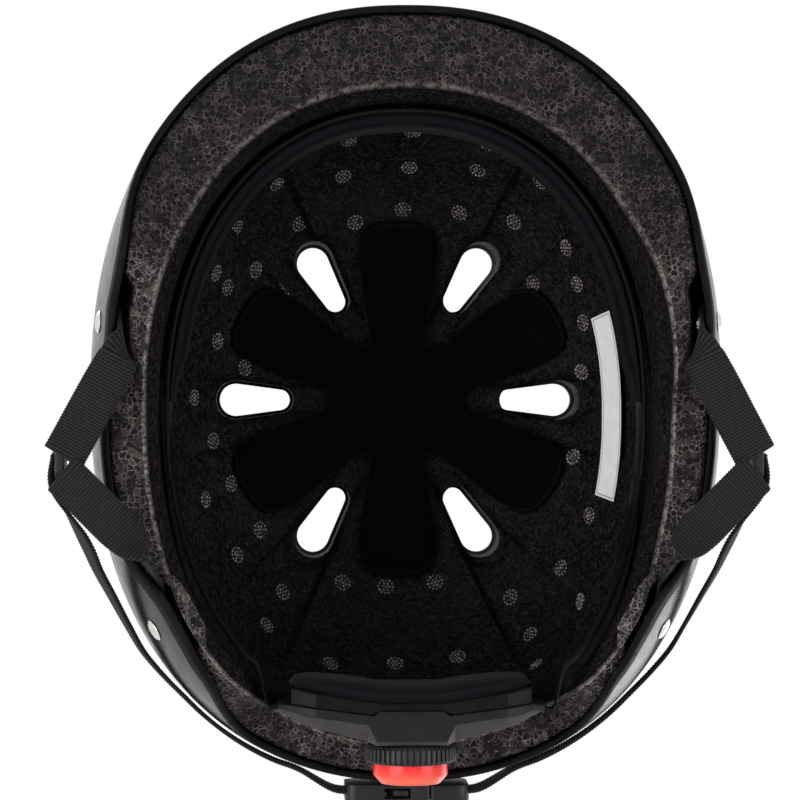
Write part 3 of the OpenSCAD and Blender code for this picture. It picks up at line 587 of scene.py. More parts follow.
# %% Foam inside the head space
mottle = foam.noise(620, 6, 0.75)
small_beads = foam.cells(INNER_BEADS, bent, Randomness=1.0)
small_walls = foam.cells(INNER_BEADS, bent, feature="DISTANCE_TO_EDGE", Randomness=1.0)
small_shade = foam.add("SeparateColor", [(small_beads["Color"], 0)]).outputs[0]
inner_cells = foam.ramp(small_shade, (0.0, "040303"), (0.6, "090808"), (1.0, "191616"))
# Painted highlights: glints on the small bead walls inside, where the mottle allows.
glint = foam.ramp(small_walls["Distance"], (0.0, 1.0), (0.11, 0.0))
glint = foam.maths("MULTIPLY", glint, foam.grey(mottle, 0.46, 0.66, 0.0, 1.0))
# Partly wear, partly painted reflection: rubbed patches inside are painted paler, for the gloss that shows on them.
wear_and_painted_gloss = foam.ramp(foam.noise(38, 5, 0.7), (0.52, 0.0), (0.7, 0.6))
wear_and_painted_gloss = foam.maths("MULTIPLY", wear_and_painted_gloss, foam.grey(mottle, 0.35, 0.65, 0.2, 1.0))
inner_tone = foam.mix(wear_and_painted_gloss, foam.mix(glint, inner_cells, "463f3e"), "2b2726")
foam.colour(foam.mix(foam.stored("rim_face"), inner_tone, rim_tone))
foam.rough(foam.grey(mottle, 0.3, 0.7, 0.4, 0.75))
relief = foam.maths("ADD", foam.maths("MULTIPLY", small_walls["Distance"], 1.5), mottle)
foam.bump(walls["Distance"], 0.12, 0.5, after=foam.bump(relief, 0.45, 0.8))
print("foam finish:", len(foam.tree.nodes), "nodes")

# %% [markdown]
# ## The hard shell
#
# The shell is vacuum formed, 2.6 mm thick, with a rounded lip. Its profile is drawn ring by ring: down the
# inside, round the lip and up the outside to the crown. The six vents are cut with a boolean, as the real
# ones are cut after forming. A boolean leaves crisp edges, which suits a trimmed plastic edge.

# %% Vent outlines and the vent cutter
VENT_ANGLES = [31, 90, 149, 211, 270, 329]
VENT_R, VENT_L = 54, 27
NEAR_R, FAR_R = 4, 6.2
VENT_NEAR, VENT_FAR = VENT_R - VENT_L / 2 + NEAR_R, VENT_R + VENT_L / 2 - FAR_R
CUT_LOW, CUT_HIGH = 85.0, 175.0


def vent_outline(grow, steps=20):
    """The outline of one vent along -Y from the crown: two half circles and two straight sides."""
    r1, r2, length = NEAR_R + grow, FAR_R + grow, VENT_FAR - VENT_NEAR
    lean = math.asin((r2 - r1) / length)
    wide = [math.pi / 2 + lean - (math.pi + 2 * lean) * i / steps for i in range(steps + 1)]
    near = [-math.pi / 2 - lean - (math.pi - 2 * lean) * i / steps for i in range(steps + 1)]
    far_arc = [(r2 * math.sin(a), -VENT_FAR - r2 * math.cos(a)) for a in wide]
    near_arc = [(r1 * math.sin(a), -VENT_NEAR - r1 * math.cos(a)) for a in near]
    return far_arc + near_arc


def vent_cutter(grow):
    """Six upright prisms, one through each vent, made wider all round by grow."""
    points, faces = [], []
    for angle in VENT_ANGLES:
        a = math.radians(angle)
        flat = [(x * math.cos(a) - y * math.sin(a), x * math.sin(a) + y * math.cos(a) + CROWN_Y)
                for x, y in vent_outline(grow)]
        p, f = skin([[(x, y, z) for x, y in flat] for z in (CUT_LOW, CUT_HIGH)])
        faces += [tuple(i + len(points) for i in q) for q in f]
        points += p
    return new_piece("vent_cutter", points, faces)


print("vent outline points:", len(vent_outline(0)))


# %% How far a point is from the vents
def seen_from_vent(x, y, angle):
    """A place in plan, turned so that one vent runs away from the crown: how far aside, and how far out."""
    a = math.radians(-angle)
    return x * math.cos(a) - (y - CROWN_Y) * math.sin(a), -(x * math.sin(a) + (y - CROWN_Y) * math.cos(a))


def vent_distance(x, y):
    """How far a point lies outside the nearest vent's outline in plan, less than 0 inside it."""
    best = np.full(np.shape(x), 1e9)
    for angle in VENT_ANGLES:
        aside, out = seen_from_vent(x, y, angle)
        px, py = np.abs(aside), out - VENT_NEAR
        h = VENT_FAR - VENT_NEAR
        b = (NEAR_R - FAR_R) / h
        s = math.sqrt(1 - b * b)
        k = -b * px + s * py
        beside = np.where(k > s * h, np.hypot(px, py - h) - FAR_R, px * s + py * b - NEAR_R)
        best = np.minimum(best, np.where(k < 0, np.hypot(px, py) - NEAR_R, beside))
    return best


print("from the crown to the nearest vent:", round(float(vent_distance(0.0, CROWN_Y)), 1), "mm")

# %% Shell
LIP_R = SHELL_T / 2

turn = np.arange(0, 360, 1.25)
low_ring = rim(turn)
straight = BULGE - low_ring - LIP_R
rows = [dome(turn, rise, SHELL_T) for rise in np.linspace(88, 3, 30)]
rows += [wall(turn, low_ring + LIP_R + straight * share, SHELL_T) for share in np.linspace(1, 0, 13)]
lip_from = len(rows) - 2
rows += [wall(turn, low_ring + lift, depth)
         for depth, lift in ((2.3, 0.45), (1.75, 0.05), (1.3, 0.0), (0.85, 0.05), (0.3, 0.45))]
lip_to = len(rows) + 2
rows += [wall(turn, low_ring + LIP_R + straight * share, 0.0) for share in np.linspace(0, 1, 15)]
rows += [dome(turn, rise, 0.0) for rise in np.linspace(2, 88, 40)]
shell = new_piece("shell", *skin(rows, (0, SHELL_Y, SHELL_H - SHELL_T), (0, SHELL_Y, SHELL_H)))
on_lip = [float(lip_from <= row < lip_to) for row in range(len(rows))]
stored(shell, "on_lip", np.concatenate([np.repeat(on_lip, len(turn)), [0.0, 0.0]]))
cut(shell, vent_cutter(0.0), 35)
seat(shell, "helmet", gloss.material, "outer_shell", slot="shell_plastic")
shell.data.materials.append(lip_paint.material)
lip_value = [v.value for v in shell.data.attributes["on_lip"].data]
for polygon in shell.data.polygons:
    polygon.material_index = int(all(lip_value[i] > 0.5 for i in polygon.vertices))
on_lip = sum(p.material_index for p in shell.data.polygons)
print("shell:", len(shell.data.vertices), "points,", on_lip, "faces on the lip")

# %% [markdown]
# ## The foam liner
#
# The liner carries most of what the photograph shows. Four things shape it beyond the plain head space:
# the flat rim with a rounded inner edge, the shallow air channels that end in creases, a soft rounding where
# each vent breaks through, and the pockets where the strap ends sit between foam and shell. All four are
# added as small moves of the same skin, so that the foam stays one closed form.

# %% What shapes the foam
CHANNELS = [(40, 10), (90, 7.5), (140, 10)]
CHANNEL_RISE = [(14, 0), (27, 0.8), (36, 1), (58, 1), (70, 0)]
RIVETS = [(81, 22), (126, 20), (234, 20), (279, 22)]
VENT_FRAME, VENT_ROUND, VENT_RAMP, POCKET_D = 1.2, 3.0, 4.0, 5.2


def channel(u, rise):
    """Depth of the air channels: at both sides of the middle of each, the foam eases back up."""
    inside = np.zeros(np.shape(u))
    for middle, half in CHANNELS:
        inside = np.maximum(inside, 1 - smooth((np.abs(fold(u) - middle) - half + 0.6) / 1.8))
    return CHANNEL * inside * stepped(CHANNEL_RISE, rise)


def vent_ease(x, y):
    """Depth of the rounding round each vent, and of the ramp from the crown pad's notches to it."""
    d = np.clip((vent_distance(x, y) - VENT_FRAME) / 4.0, 0, 1)
    edge = VENT_ROUND * (1 - np.sqrt(1 - (1 - d) ** 2 * 0.9999))
    ramp = np.zeros(np.shape(x))
    for angle in VENT_ANGLES:
        px, py = seen_from_vent(x, y, angle)
        beside = 1 - smooth((np.abs(px) - 3.5) / 3.0)
        ramp = np.maximum(ramp, VENT_RAMP * smooth((py - 22) / 18) * smooth((46 - py) / 5) * beside)
    return np.maximum(edge, ramp)


def pocket(u, z):
    """How far the foam draws back from the shell round each rivet."""
    deep = np.zeros(np.broadcast(u, z).shape)
    for at, high in RIVETS:
        across = np.abs(np.mod(u - at + 180, 360) - 180)
        deep = np.maximum(deep, (1 - smooth((across - 6) / 2.6)) * (1 - smooth((z - high - 8) / 3)))
    return POCKET_D * deep


print("channel depth at its middle:", float(channel(40.0, 45.0)), "mm")

# %% The foam's outside and rim
EDGE_OUT, WALL_OUT, EDGE_R, WALL_DROP = -4.6, -3.3, 1.3, 13

turn = np.arange(0, 360, 1.0)
base = rim(turn) + RECESS
rows, rim_face, worn_edge = [], [], []


def foam_row(points, on_rim, worn=0.0):
    rows.append(points)
    rim_face.append(on_rim)
    worn_edge.append(worn)


for rise in np.linspace(88, 4, 22):
    foam_row(dome(turn, rise, LINER_D), 0.0)
for share in np.linspace(1, 0, 14):
    z = base + 1.2 + (BULGE - base - 1.2) * share
    foam_row(wall(turn, z, LINER_D + pocket(turn, z)), 1.0)
outer = wall(turn, base, LINER_D + 1.2 + pocket(turn, base))
inner = cav(turn, base, EDGE_OUT)
for share in [0.0, 0.1, 0.2, 0.3, 0.4, 0.5, 0.6, 0.7, 0.78, 0.85, 0.9, 0.94, 0.97, 1.0]:
    foam_row(outer * (1 - share) + inner * share, 1.0, float(smooth((share - 0.93) / 0.07)))
for a in np.radians((25, 50, 75)):
    edge_row = cav(turn, base + EDGE_R * (1 - math.cos(a)), EDGE_OUT + EDGE_R * math.sin(a))
    foam_row(edge_row, 1.0 - 0.5 * a, 1.0 - 0.5 * a)
print("foam rows down the outside and across the rim:", len(rows))

# %% The foam's inside
straight = CAV_Z0 - base - EDGE_R
for share in np.linspace(0, 1, 15):
    z = base + EDGE_R + straight * share
    foam_row(cav(turn, z, WALL_OUT * (1 - smooth((z - base - EDGE_R) / np.minimum(WALL_DROP, straight)))), 0.0)
for rise in np.concatenate([np.arange(2, 28, 2.0), np.arange(28, 78, 0.8), np.arange(78, 89, 2.0)]):
    flat = cavdome(turn, rise, 0.0)
    foam_row(cavdome(turn, rise, -(channel(turn, rise) + vent_ease(flat[:, 0], flat[:, 1]))), 0.0)
liner = new_piece("liner", *skin(rows, (0, SHELL_Y, SHELL_H - LINER_D), (0, CAV_Y, CAV_H)), sharp=50)
for name, values in (("rim_face", rim_face), ("worn_edge", worn_edge)):
    stored(liner, name, np.concatenate([np.repeat(values, len(turn)), [0.0, 0.0]]))
cut(liner, vent_cutter(VENT_FRAME), 50)
seat(liner, "helmet", foam.material, "eps_liner", slot="foam")
print("liner:", len(liner.data.vertices), "points, masks kept:", "rim_face" in liner.data.attributes)

# %% [markdown]
# ## Marks of the moulding press
#
# Steam enters a bead-foam mould through small round plugs, and each plug prints a cluster of dots on the
# foam. They are the round marks, 7 mm across, all over the inside. Each cluster here is nineteen low domes
# set on the foam's own curve. A bump texture could draw them, but they would vanish at the clear edges.

# %% Steam marks
STEAM = [(2, 23), (348, 24.5), (20, 21.5), (2, 36.5), (20, 32.5), (345, 37), (36, 25.5), (327, 30.5), (1, 49),
         (19, 47), (346, 51), (328, 46), (36, 42.5), (312, 31), (52, 32), (308, 43.5), (61, 20.5), (61, 34.5),
         (53, 48), (299, 37), (300, 30), (311, 55.5), (70, 37), (286, 39.5), (282, 51), (79, 59), (81, 41),
         (273, 35), (265, 42.5), (99, 44), (254, 45), (253, 33.5), (111, 34), (238, 49.5), (237, 38.5),
         (126, 36.5), (201, 56), (184, 57.5), (166, 57.5), (219, 46), (143, 45.5), (129, 22.5), (218, 34.5),
         (144, 32.5), (198, 32.5), (181, 36.5), (165, 36), (147, 19)]
DOT_RING = [(0.0, 0.0)] + [(1.35, 60.0 * i) for i in range(6)] + [(2.7, 30.0 * i) for i in range(12)]
DOT_FORM = ((0.55, -0.5), (0.5, 0.12), (0.3, 0.26))
DOT_SIDES = 8


def foam_point(u, rise):
    """A point on the foam as it is shaped, channels and roundings included."""
    flat = cavdome(u, rise, 0.0)
    deep = channel(np.asarray(u, float), np.asarray(rise, float)) + vent_ease(flat[..., 0], flat[..., 1])
    return cavdome(u, rise, 0.0 - deep)


def around(middle, side, up, radius, degrees):
    return middle + radius * (side * math.cos(math.radians(degrees)) + up * math.sin(math.radians(degrees)))


def steam_marks():
    """Each dot is a low dome of three rings, sunk into the foam, along the foam's own slope."""
    points, faces = [], []
    for u, rise in STEAM:
        middle = foam_point(u, rise)
        if vent_distance(middle[0], middle[1]) < 5:
            continue
        side = unit(foam_point(u + 1.0, rise) - foam_point(u - 1.0, rise))
        up = unit(foam_point(u, rise + 1.0) - foam_point(u, rise - 1.0))
        inward = unit(np.cross(side, up))
        if np.dot(inward, np.array([0, CAV_Y, 40.0]) - middle) < 0:
            inward = -inward
        for radius, degrees in DOT_RING:
            dot = around(middle, side, up, radius, degrees)
            base = len(points)
            for size, lift in DOT_FORM:
                points += [around(dot, side, up, size, 45 * q) + inward * lift for q in range(DOT_SIDES)]
            for low in (base, base + DOT_SIDES):
                for q in range(DOT_SIDES):
                    after = (q + 1) % DOT_SIDES
                    faces.append((low + q, low + after, low + DOT_SIDES + after, low + DOT_SIDES + q))
            faces.append(tuple(base + 2 * DOT_SIDES + q for q in range(DOT_SIDES)))
    return new_piece("steam_marks", points, faces, 60)


# Painted highlights: the dots' pale colour stands in for glints on the little domes, which are real.
painted_glint_dots_paint = Finish("foam dots with painted glints", "35302e", 0.6, Specular_IOR_Level=0.3)
painted_glint_dots_paint.colour(painted_glint_dots_paint.ramp(painted_glint_dots_paint.noise(700, 3), (0.35, "242120"), (0.68, "a19996")))
painted_glint_dots_paint.bump(painted_glint_dots_paint.noise(1500, 2), 0.05, 0.4)
marks = seat(steam_marks(), "helmet", painted_glint_dots_paint.material, slot="foam")
print("steam marks:", len(marks.data.polygons), "faces")

# %% [markdown]
# ## Cloth of the pads
#
# The pads are thin foam with a brushed knit cloth, almost black with a hint of navy, welded flat along the
# edge. The weld is smoother than the cloth, and it is also painted lighter: that thin line is a painted
# highlight. The three pads are copies of one cloth in three tones, darkest on the crown pad and lightest on
# the nape pad: that is painted shade, darker the deeper a pad lies in the head space. The knit is a bump of
# two crossed waves, 0.7 mm apart, broken up by noise, and a little sheen gives the brushed look. Real hair or
# fibre strands would be slower and would not be seen at this distance.

# %% Pad cloth and its welded edge
KNIT = 450.0


def pad_cloth(name, dark, light, sheen):
    """Brushed knit, with a smoother weld where the mesh says so; the weld is painted lighter and slightly bluer, as
    a painted highlight.
    """
    cloth = Finish(name, dark, 0.88, Sheen_Weight=sheen, Sheen_Roughness=0.45, Specular_IOR_Level=0.05)
    aslant = cloth.add("Mapping", [(cloth.place, "Vector")], Rotation=(0.4, 0.5, 0.78)).outputs[0]
    across, along = [cloth.add("TexWave", [(aslant, "Vector")], bands_direction=way, Scale=KNIT, Distortion=1.2,
                               Detail=1.0).outputs["Fac"] for way in ("X", "Y")]
    knit = cloth.maths("MULTIPLY", across, along)
    nap = cloth.noise(900, 4, 0.7)
    weld = cloth.stored("weld")
    # Painted highlight: the weld is mixed to a lighter colour, besides its lower roughness.
    cloth.colour(cloth.mix(weld, cloth.ramp(nap, (0.3, dark), (0.8, light)), "16161b"))
    cloth.rough(cloth.grey(weld, 0.0, 1.0, 0.9, 0.48))
    cloth.bump(cloth.maths("ADD", cloth.maths("MULTIPLY", knit, 0.5), nap), 0.14, 0.6)
    return cloth.material


# Painted shade: one cloth in three tones, darkest for the crown pad deep in the head space and lightest for the nape
# pad near the rim.
crown_cloth = pad_cloth("crown pad cloth", "020203", "060609", 0.01)
brow_cloth = pad_cloth("brow pad cloth", "060709", "0e0f14", 0.03)
nape_cloth = pad_cloth("nape pad cloth", "08080a", "131316", 0.03)
print("pad cloths:", crown_cloth.name, brow_cloth.name, nape_cloth.name)

# %% [markdown]
# ## Filling a pad with a cloth simulation
#
# A pad looks soft because its filling pushes the cover out evenly while the weld holds its edge. Blender's
# cloth simulation does just that: the back and the weld are pinned, a light pressure blows up the face, and
# the result is kept as the mesh. The move of each point is capped, so that the pad stays in its place.

# %% The filling
PUSH, COVER_MASS, STRETCH, BEND, CLOTH_FRAMES = 4.0, 0.15, 12, 0.6, 20


def mesh_points(mesh):
    flat = np.empty(len(mesh.vertices) * 3)
    mesh.vertices.foreach_get("co", flat)
    return flat.reshape(-1, 3)


def blown_up(thing, held):
    """Where the points of a cover come to with pressure behind it, while those that are held stay."""
    group = thing.vertex_groups.new(name="held")
    group.add([int(i) for i in np.nonzero(held)[0]], 1.0, "REPLACE")
    cloth = thing.modifiers.new("filling", "CLOTH")
    cloth.settings.vertex_group_mass = "held"
    cloth.settings.use_pressure = True
    cloth.settings.uniform_pressure_force = PUSH
    cloth.settings.effector_weights.gravity = 0
    cloth.settings.mass = COVER_MASS
    cloth.settings.tension_stiffness = cloth.settings.compression_stiffness = STRETCH
    cloth.settings.bending_stiffness = BEND
    cloth.settings.quality = 6
    for frame_number in range(1, CLOTH_FRAMES + 1):
        bpy.context.scene.frame_set(frame_number)
    points = mesh_points(thing.evaluated_get(bpy.context.evaluated_depsgraph_get()).to_mesh())
    thing.modifiers.clear()
    thing.vertex_groups.clear()
    return points


def filled(thing, held, cap_mm):
    """Puffs a pad, and no point of it by more than a cap."""
    start = mesh_points(thing.data)
    step = blown_up(thing, held) - start
    far = np.linalg.norm(step, axis=1, keepdims=True)
    step *= np.minimum(1.0, cap_mm * MM / np.maximum(far, 1e-9))
    thing.data.vertices.foreach_set("co", (start + step).reshape(-1))
    thing.data.update()
    bpy.context.scene.frame_set(1)
    print(thing.name, "puffed by up to", round(float(np.linalg.norm(step, axis=1).max()) / MM, 2), "mm")


print("filling: a pressure of", PUSH, "over", CLOTH_FRAMES, "frames")

# %% From rows of points to a pad
def pad_row(points, line=0.0, fixed=True):
    """One more row of a pad: its points, how much of the weld shows at them, and whether they are held."""
    rows.append(points)
    weld.append(np.broadcast_to(line, len(points)))
    held.append(np.broadcast_to(fixed, len(points)))


def pad_cover(name, cap_mm, *ends):
    """A puffed cover over all the rows. Each end is a closing point and whether it is held."""
    cover = new_piece(name, *skin(rows, *[point for point, _ in ends]), sharp=80)
    filled(cover, np.concatenate(held + [np.array([fixed for _, fixed in ends], bool)]), cap_mm)
    stored(cover, "weld", np.concatenate(weld + [np.zeros(len(ends))]))
    return cover


rows, weld, held = [], [], []
pad_row(np.zeros((4, 3)), 0.5)
print("a held row of four points, half in the weld:", held[0], weld[0])

# %% [markdown]
# ## The crown pad
#
# Six petals in one piece lie against the top of the head space, with a notch between each two for a vent.
# The outline is a radius for every direction, smoothed so that tips and notches are round. The face is
# drawn from how far a point lies inside the edge: a flat weld first, then a round shoulder, then the crown.
# The cloth simulation then takes away the drawn evenness.

# %% The crown pad's outline
PETALS = [0, 61, 120, 180, 240, 299]
PETAL_R, PETAL_HALF, ROOT_HALF, PAD_T, PAD_GAP = 67.0, 15.5, 10.0, 7.0, 1.6
ROOT_R = ROOT_HALF * 2 * 1.28


def petal_radius(a):
    """How far the pad reaches from its middle: round at the root, then out to the nearest petal's tip."""
    best = np.full(len(a), ROOT_R)
    lean = (PETAL_HALF - ROOT_HALF) / (PETAL_R - 10 - ROOT_R)
    for middle in PETALS:
        d = np.radians(np.abs(np.mod(a - middle + 540, 360) - 180))
        below = np.sin(d) - lean * np.cos(d)
        sides = np.where(below <= 0.001, 999.0, (ROOT_HALF - lean * ROOT_R) / np.where(below <= 0.001, 1.0, below))
        tip = PETAL_R - 5 * np.minimum(1, PETAL_R * np.sin(np.minimum(d, np.pi / 2)) / PETAL_HALF) ** 5
        best = np.maximum(best, np.minimum(sides, tip))
    return best


turn = np.arange(0, 360, 1.0)
radius = petal_radius(turn)
kernel = np.exp(-0.5 * (np.arange(-6, 7) / 1.8) ** 2)
radius = np.convolve(np.concatenate([radius[-6:], radius, radius[:6]]), kernel / kernel.sum(), "valid")
print("crown pad reaches", [round(float(r), 1) for r in (radius.min(), radius.max())], "mm from its middle")

# %% Crown pad
INSET_SHARE, WELD_IN = 0.85, 1.5


def pad_ring(share, thick):
    x = radius * share * np.sin(np.radians(turn))
    y = CROWN_Y - radius * share * np.cos(np.radians(turn))
    return np.stack([x, y, cav_top(x, y) - PAD_GAP - thick], -1)


edge_shares = [0.0, 0.006, 0.014, 0.024, 0.036]
rows, weld, held = [], [], []
for share in (1 - np.concatenate([edge_shares, np.linspace(0.055, 0.9, 22)]))[::-1]:
    inset = (1 - share) * radius * INSET_SHARE
    swell = np.clip((inset - WELD_IN) / 9.0, 0, 1)
    thick = 1.1 + (PAD_T - 2.2) * np.sqrt(1 - (1 - swell) ** 2) ** 0.8
    pad_row(pad_ring(share, thick), np.exp(-((inset - WELD_IN) / 0.55) ** 2) * 0.9, inset < 1.7)
pad_row(pad_ring(1.002, 0.55))
for share in (0.995, 0.75, 0.45, 0.2):
    pad_row(pad_ring(share, 0.0))
top = float(cav_top(0.0, CROWN_Y)) - PAD_GAP
crown_pad = pad_cover("crown_pad_cover", 1.2, ((0, CROWN_Y, top - PAD_T + 0.7), False), ((0, CROWN_Y, top), True))
seat(crown_pad, "helmet", crown_cloth, "crown_pad", slot="pad_cloth")
print("crown pad:", len(crown_pad.data.vertices), "points")

# %% [markdown]
# ## The headband
#
# The front part of the headband is a thin plastic strip from ear to ear. It follows the wall of the head
# space 2 mm away from it and narrows behind the temples. It is swept: a section is set across the strip
# every two degrees, which keeps its edges straight along it, as sculpting would not.

# %% Headband ring
BAND_Z, BAND_W, BAND_E, BAND_T, SIDE_W, RING_END = 45.0, 22.0, 2.0, 1.6, 12.0, 100.0


def eased_oblong(half_high, half_thick, ease):
    """Sixteen (height, thickness) places round an oblong with rounded corners, from its middle."""
    places = []
    for up, out, start in ((1, 1, 0), (-1, 1, 90), (-1, -1, 180), (1, -1, 270)):
        for a in np.radians((start, start + 30, start + 60, start + 90)):
            high, thick = up * (half_high - ease), out * (half_thick - ease)
            places.append((high + ease * math.cos(a), thick + ease * math.sin(a)))
    return places


sections = []
for u in np.arange(-RING_END, RING_END + 0.1, 2.0):
    low = BAND_Z + 3 * smooth((abs(u) - 70) / 30)
    half = (BAND_W + (SIDE_W - BAND_W) * smooth((abs(u) - 60) / 40)) / 2
    places = eased_oblong(half, BAND_T / 2, 0.45)
    sections.append([cav(u, low + half + z, BAND_E + BAND_T / 2 + e) for z, e in places])
headband = new_piece("headband", *skin(sections), sharp=50)
band_paint = Finish("band plastic", "0a0a0c", 0.45, Specular_IOR_Level=0.08)
band_paint.colour(band_paint.ramp(band_paint.noise(120, 4), (0.3, "070708"), (0.75, "0f0f12")))
band_paint.rough(band_paint.grey(band_paint.noise(500, 4), 0.3, 0.7, 0.42, 0.58))
band_paint.bump(band_paint.noise(2200, 3), 0.02, 0.5)
seat(headband, "helmet", band_paint.material, "headband_ring", slot="band_plastic")
print("headband sections:", len(sections))

# %% [markdown]
# ## The side bands
#
# A side band runs from the ring's end back and down to the cradle, narrowing on its way, and ends beside
# the rack that draws it in. On the real helmet its last part goes with the cradle when the dial tightens,
# while its first half stays with the helmet. Here each side band is one swept piece, set in place and given
# to no body. It is not cut into two rigid pieces, which would leave a gap.

# %% Smooth curves through a few places
def refined(stations, pieces):
    """More stations on smooth curves through every value of a few of them."""
    stations = np.array(stations, float)
    last = len(stations) - 1
    out = []
    for i in range(last):
        a, b, c, d = stations[max(0, i - 1)], stations[i], stations[i + 1], stations[min(last, i + 2)]
        for t in np.linspace(0, 1, pieces, endpoint=False):
            bend = (2 * a - 5 * b + 4 * c - d) * t ** 2 + (3 * b - a - 3 * c + d) * t ** 3
            out.append(0.5 * (2 * b + (c - a) * t + bend))
    return np.array(out + [stations[-1]])


def rounded(corners, ease=0.4):
    """A ring of 16 points with eased corners on a four-cornered section."""
    a, b, c, d = corners
    tall, thick = np.linalg.norm(b - a) / 2, np.linalg.norm(d - a) / 2
    ring = []
    for up, out in np.array(eased_oblong(tall, thick, ease)) / [tall, thick]:
        near, far = a * (1 - up) + b * (1 + up), d * (1 - up) + c * (1 + up)
        ring.append((near * (1 - out) + far * (1 + out)) / 4)
    return ring


print("a square's eased corners:", len(rounded(np.array([[0, 0, 0], [0, 0, 9], [0, 9, 9], [0, 9, 0]]))), "points")

# %% Side bands
BAND_START, BAND_STOP = RING_END + 0.4, 143
RACK_Y, RACK_HALF = 103.55, 2.6


def side_band(hand, sign, end_z):
    stations = []
    for t in np.linspace(0, 1, 13):
        u, e = BAND_START + (BAND_STOP - BAND_START) * t, BAND_E + 0.4 + 1.2 * t
        middle = (BAND_Z + 9) * (1 - smooth(t)) + end_z * smooth(t)
        half = SIDE_W / 2 * (1 - 0.55 * smooth(t))
        corners = ((e, -half), (e, half), (e + BAND_T, half), (e + BAND_T, -half))
        stations.append([cav(u, middle + up, out) for out, up in corners])
    for x in (49.3, 46.3):
        corners = ((BAND_T, -RACK_HALF), (BAND_T, RACK_HALF), (0, RACK_HALF), (0, -RACK_HALF))
        stations.append([(x, RACK_Y + back, end_z + up) for back, up in corners])
    stations = np.array(stations) * [sign, 1, 1]
    band = new_piece("side_band_" + hand, *skin([rounded(c) for c in refined(stations, 4)]), sharp=50)
    band.data.materials.append(band_paint.material)
    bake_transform(band)
    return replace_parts(band, hand + "_band")


side_bands = [side_band("left", -1, 24.3), side_band("right", 1, 10.7)]
print("side bands:", [len(b.data.vertices) for b in side_bands], "points")

# %% [markdown]
# ## The brow pad
#
# The brow pad is a long cushion on the headband, from ear to ear, with a welded line along each edge. It is
# swept too, so the welds stay straight along the pad. Toward its ends it gets thinner and a little lower.

# %% Brow pad
PAD_E, BROW_T, BROW_END = BAND_E + BAND_T + FIT, 5.0, 88.0
middle = BAND_Z + BAND_W / 2
face, back = np.linspace(-1, 1, 25), np.linspace(0.96, -0.96, 9)
rows, weld, held = [], [], []
for u in np.arange(-BROW_END, BROW_END + 0.1, 1.0):
    full = 0.25 + 0.75 * float(smooth((BROW_END - abs(u)) / 10))
    half = (BAND_W / 2 - 1) - 2 * (1 - full)
    inset = (1 - np.abs(face)) * half
    swell = np.clip((inset - 1.2) / 4.5, 0, 1)
    out = (0.9 + (BROW_T - 1.6) * np.sqrt(1 - (1 - swell) ** 2)) * full
    section = np.concatenate([cav(u, middle + half * face, PAD_E + out), cav(u, middle + half * back, PAD_E)])
    line = np.concatenate([np.exp(-((inset - 1.3) / 0.5) ** 2), np.zeros(len(back))])
    pad_row(section, line, np.concatenate([inset < 1.4, np.ones(len(back), bool)]))
brow_pad = pad_cover("brow_pad_cover", 0.9)
seat(brow_pad, "helmet", brow_cloth, "brow_pad", slot="pad_cloth")
print("brow pad:", len(brow_pad.data.vertices), "points")

# %% [markdown]
# ## The nape pad
#
# The nape pad is a rounded oblong glued to the cradle's face. Its back takes the hollow of that face, and its
# front rises from a weld near the edge. It is made of rings from the back round the edge to the middle. Its
# height, width and thickness are measured on the CAD pad, so it stays on the cradle as the CAD pad does.

# %% Nape pad
def face_dip(x):
    """The cradle's face is hollow: flat in the middle, and leaning forward to both ends."""
    far = np.clip((np.abs(x) - 10.5) / 30.5, 0, 1)
    return 2.0 - 5.2 * (0.8 * far + 0.2 * far ** 2)


low_corner, high_corner = box_mm("nape_pad")
nape_back, deep = high_corner[1], high_corner[1] - low_corner[1]
half_x, _, half_z = (high_corner - low_corner) / 2
mid_x, _, mid_z = (high_corner + low_corner) / 2
cos_a, sin_a = [power(f(np.radians(np.arange(0, 360, 3.0))), 4) for f in (np.cos, np.sin)]


def nape_ring(share, thick, fixed=False):
    x, z = mid_x + half_x * share * cos_a, mid_z + half_z * share * sin_a
    line = math.exp(-(((1 - share) * 22 - 0.9) / 0.45) ** 2)
    pad_row(np.stack([x, nape_back + face_dip(x) - thick, z], -1), line, fixed)


rows, weld, held = [], [], []
for share, thick in ((0.97, 0.0), (1.0, 0.5), (0.985, 0.95)):
    nape_ring(share, thick, True)
for share in (0.96, 0.93, 0.89, 0.84, 0.78, 0.7, 0.6, 0.48, 0.35, 0.2, 0.08):
    swell = min(1, (1 - share) * 22 / 7)
    nape_ring(share, 1.0 + (deep - 2.0) * math.sqrt(1 - (1 - swell) ** 2))
hollow = nape_back + 2
front = hollow - deep + 0.95
nape_pad = pad_cover("nape_pad_cover", 0.9, ((mid_x, hollow, mid_z), True), ((mid_x, front, mid_z), False))
seat(nape_pad, "cradle", nape_cloth, "nape_pad", slot="pad_cloth")
print("nape pad:", len(nape_pad.data.vertices), "points")

# %% [markdown]
# ## Webbing
#
# The straps are woven polyester webbing, 15 mm wide and 1.4 mm thick. Its ribs run across the strap, about
# 1.1 mm apart, and the edges are slightly serrated where the weft turns. The strip here has a section every
# half rib: every second one is a little wider and thicker. That is real shape rather than a texture, so
# the edge is serrated against the sky too. The colour is painted too: near black between the ribs as
# painted shade, and lighter on the ribs as painted light. A smooth curve through a few places gives the path.

# %% Paths and strips of webbing
HALF_RIB, SELVEDGE = 0.55, 0.35
FOLD_ANGLES = (16, 32, 48, 64, 80)


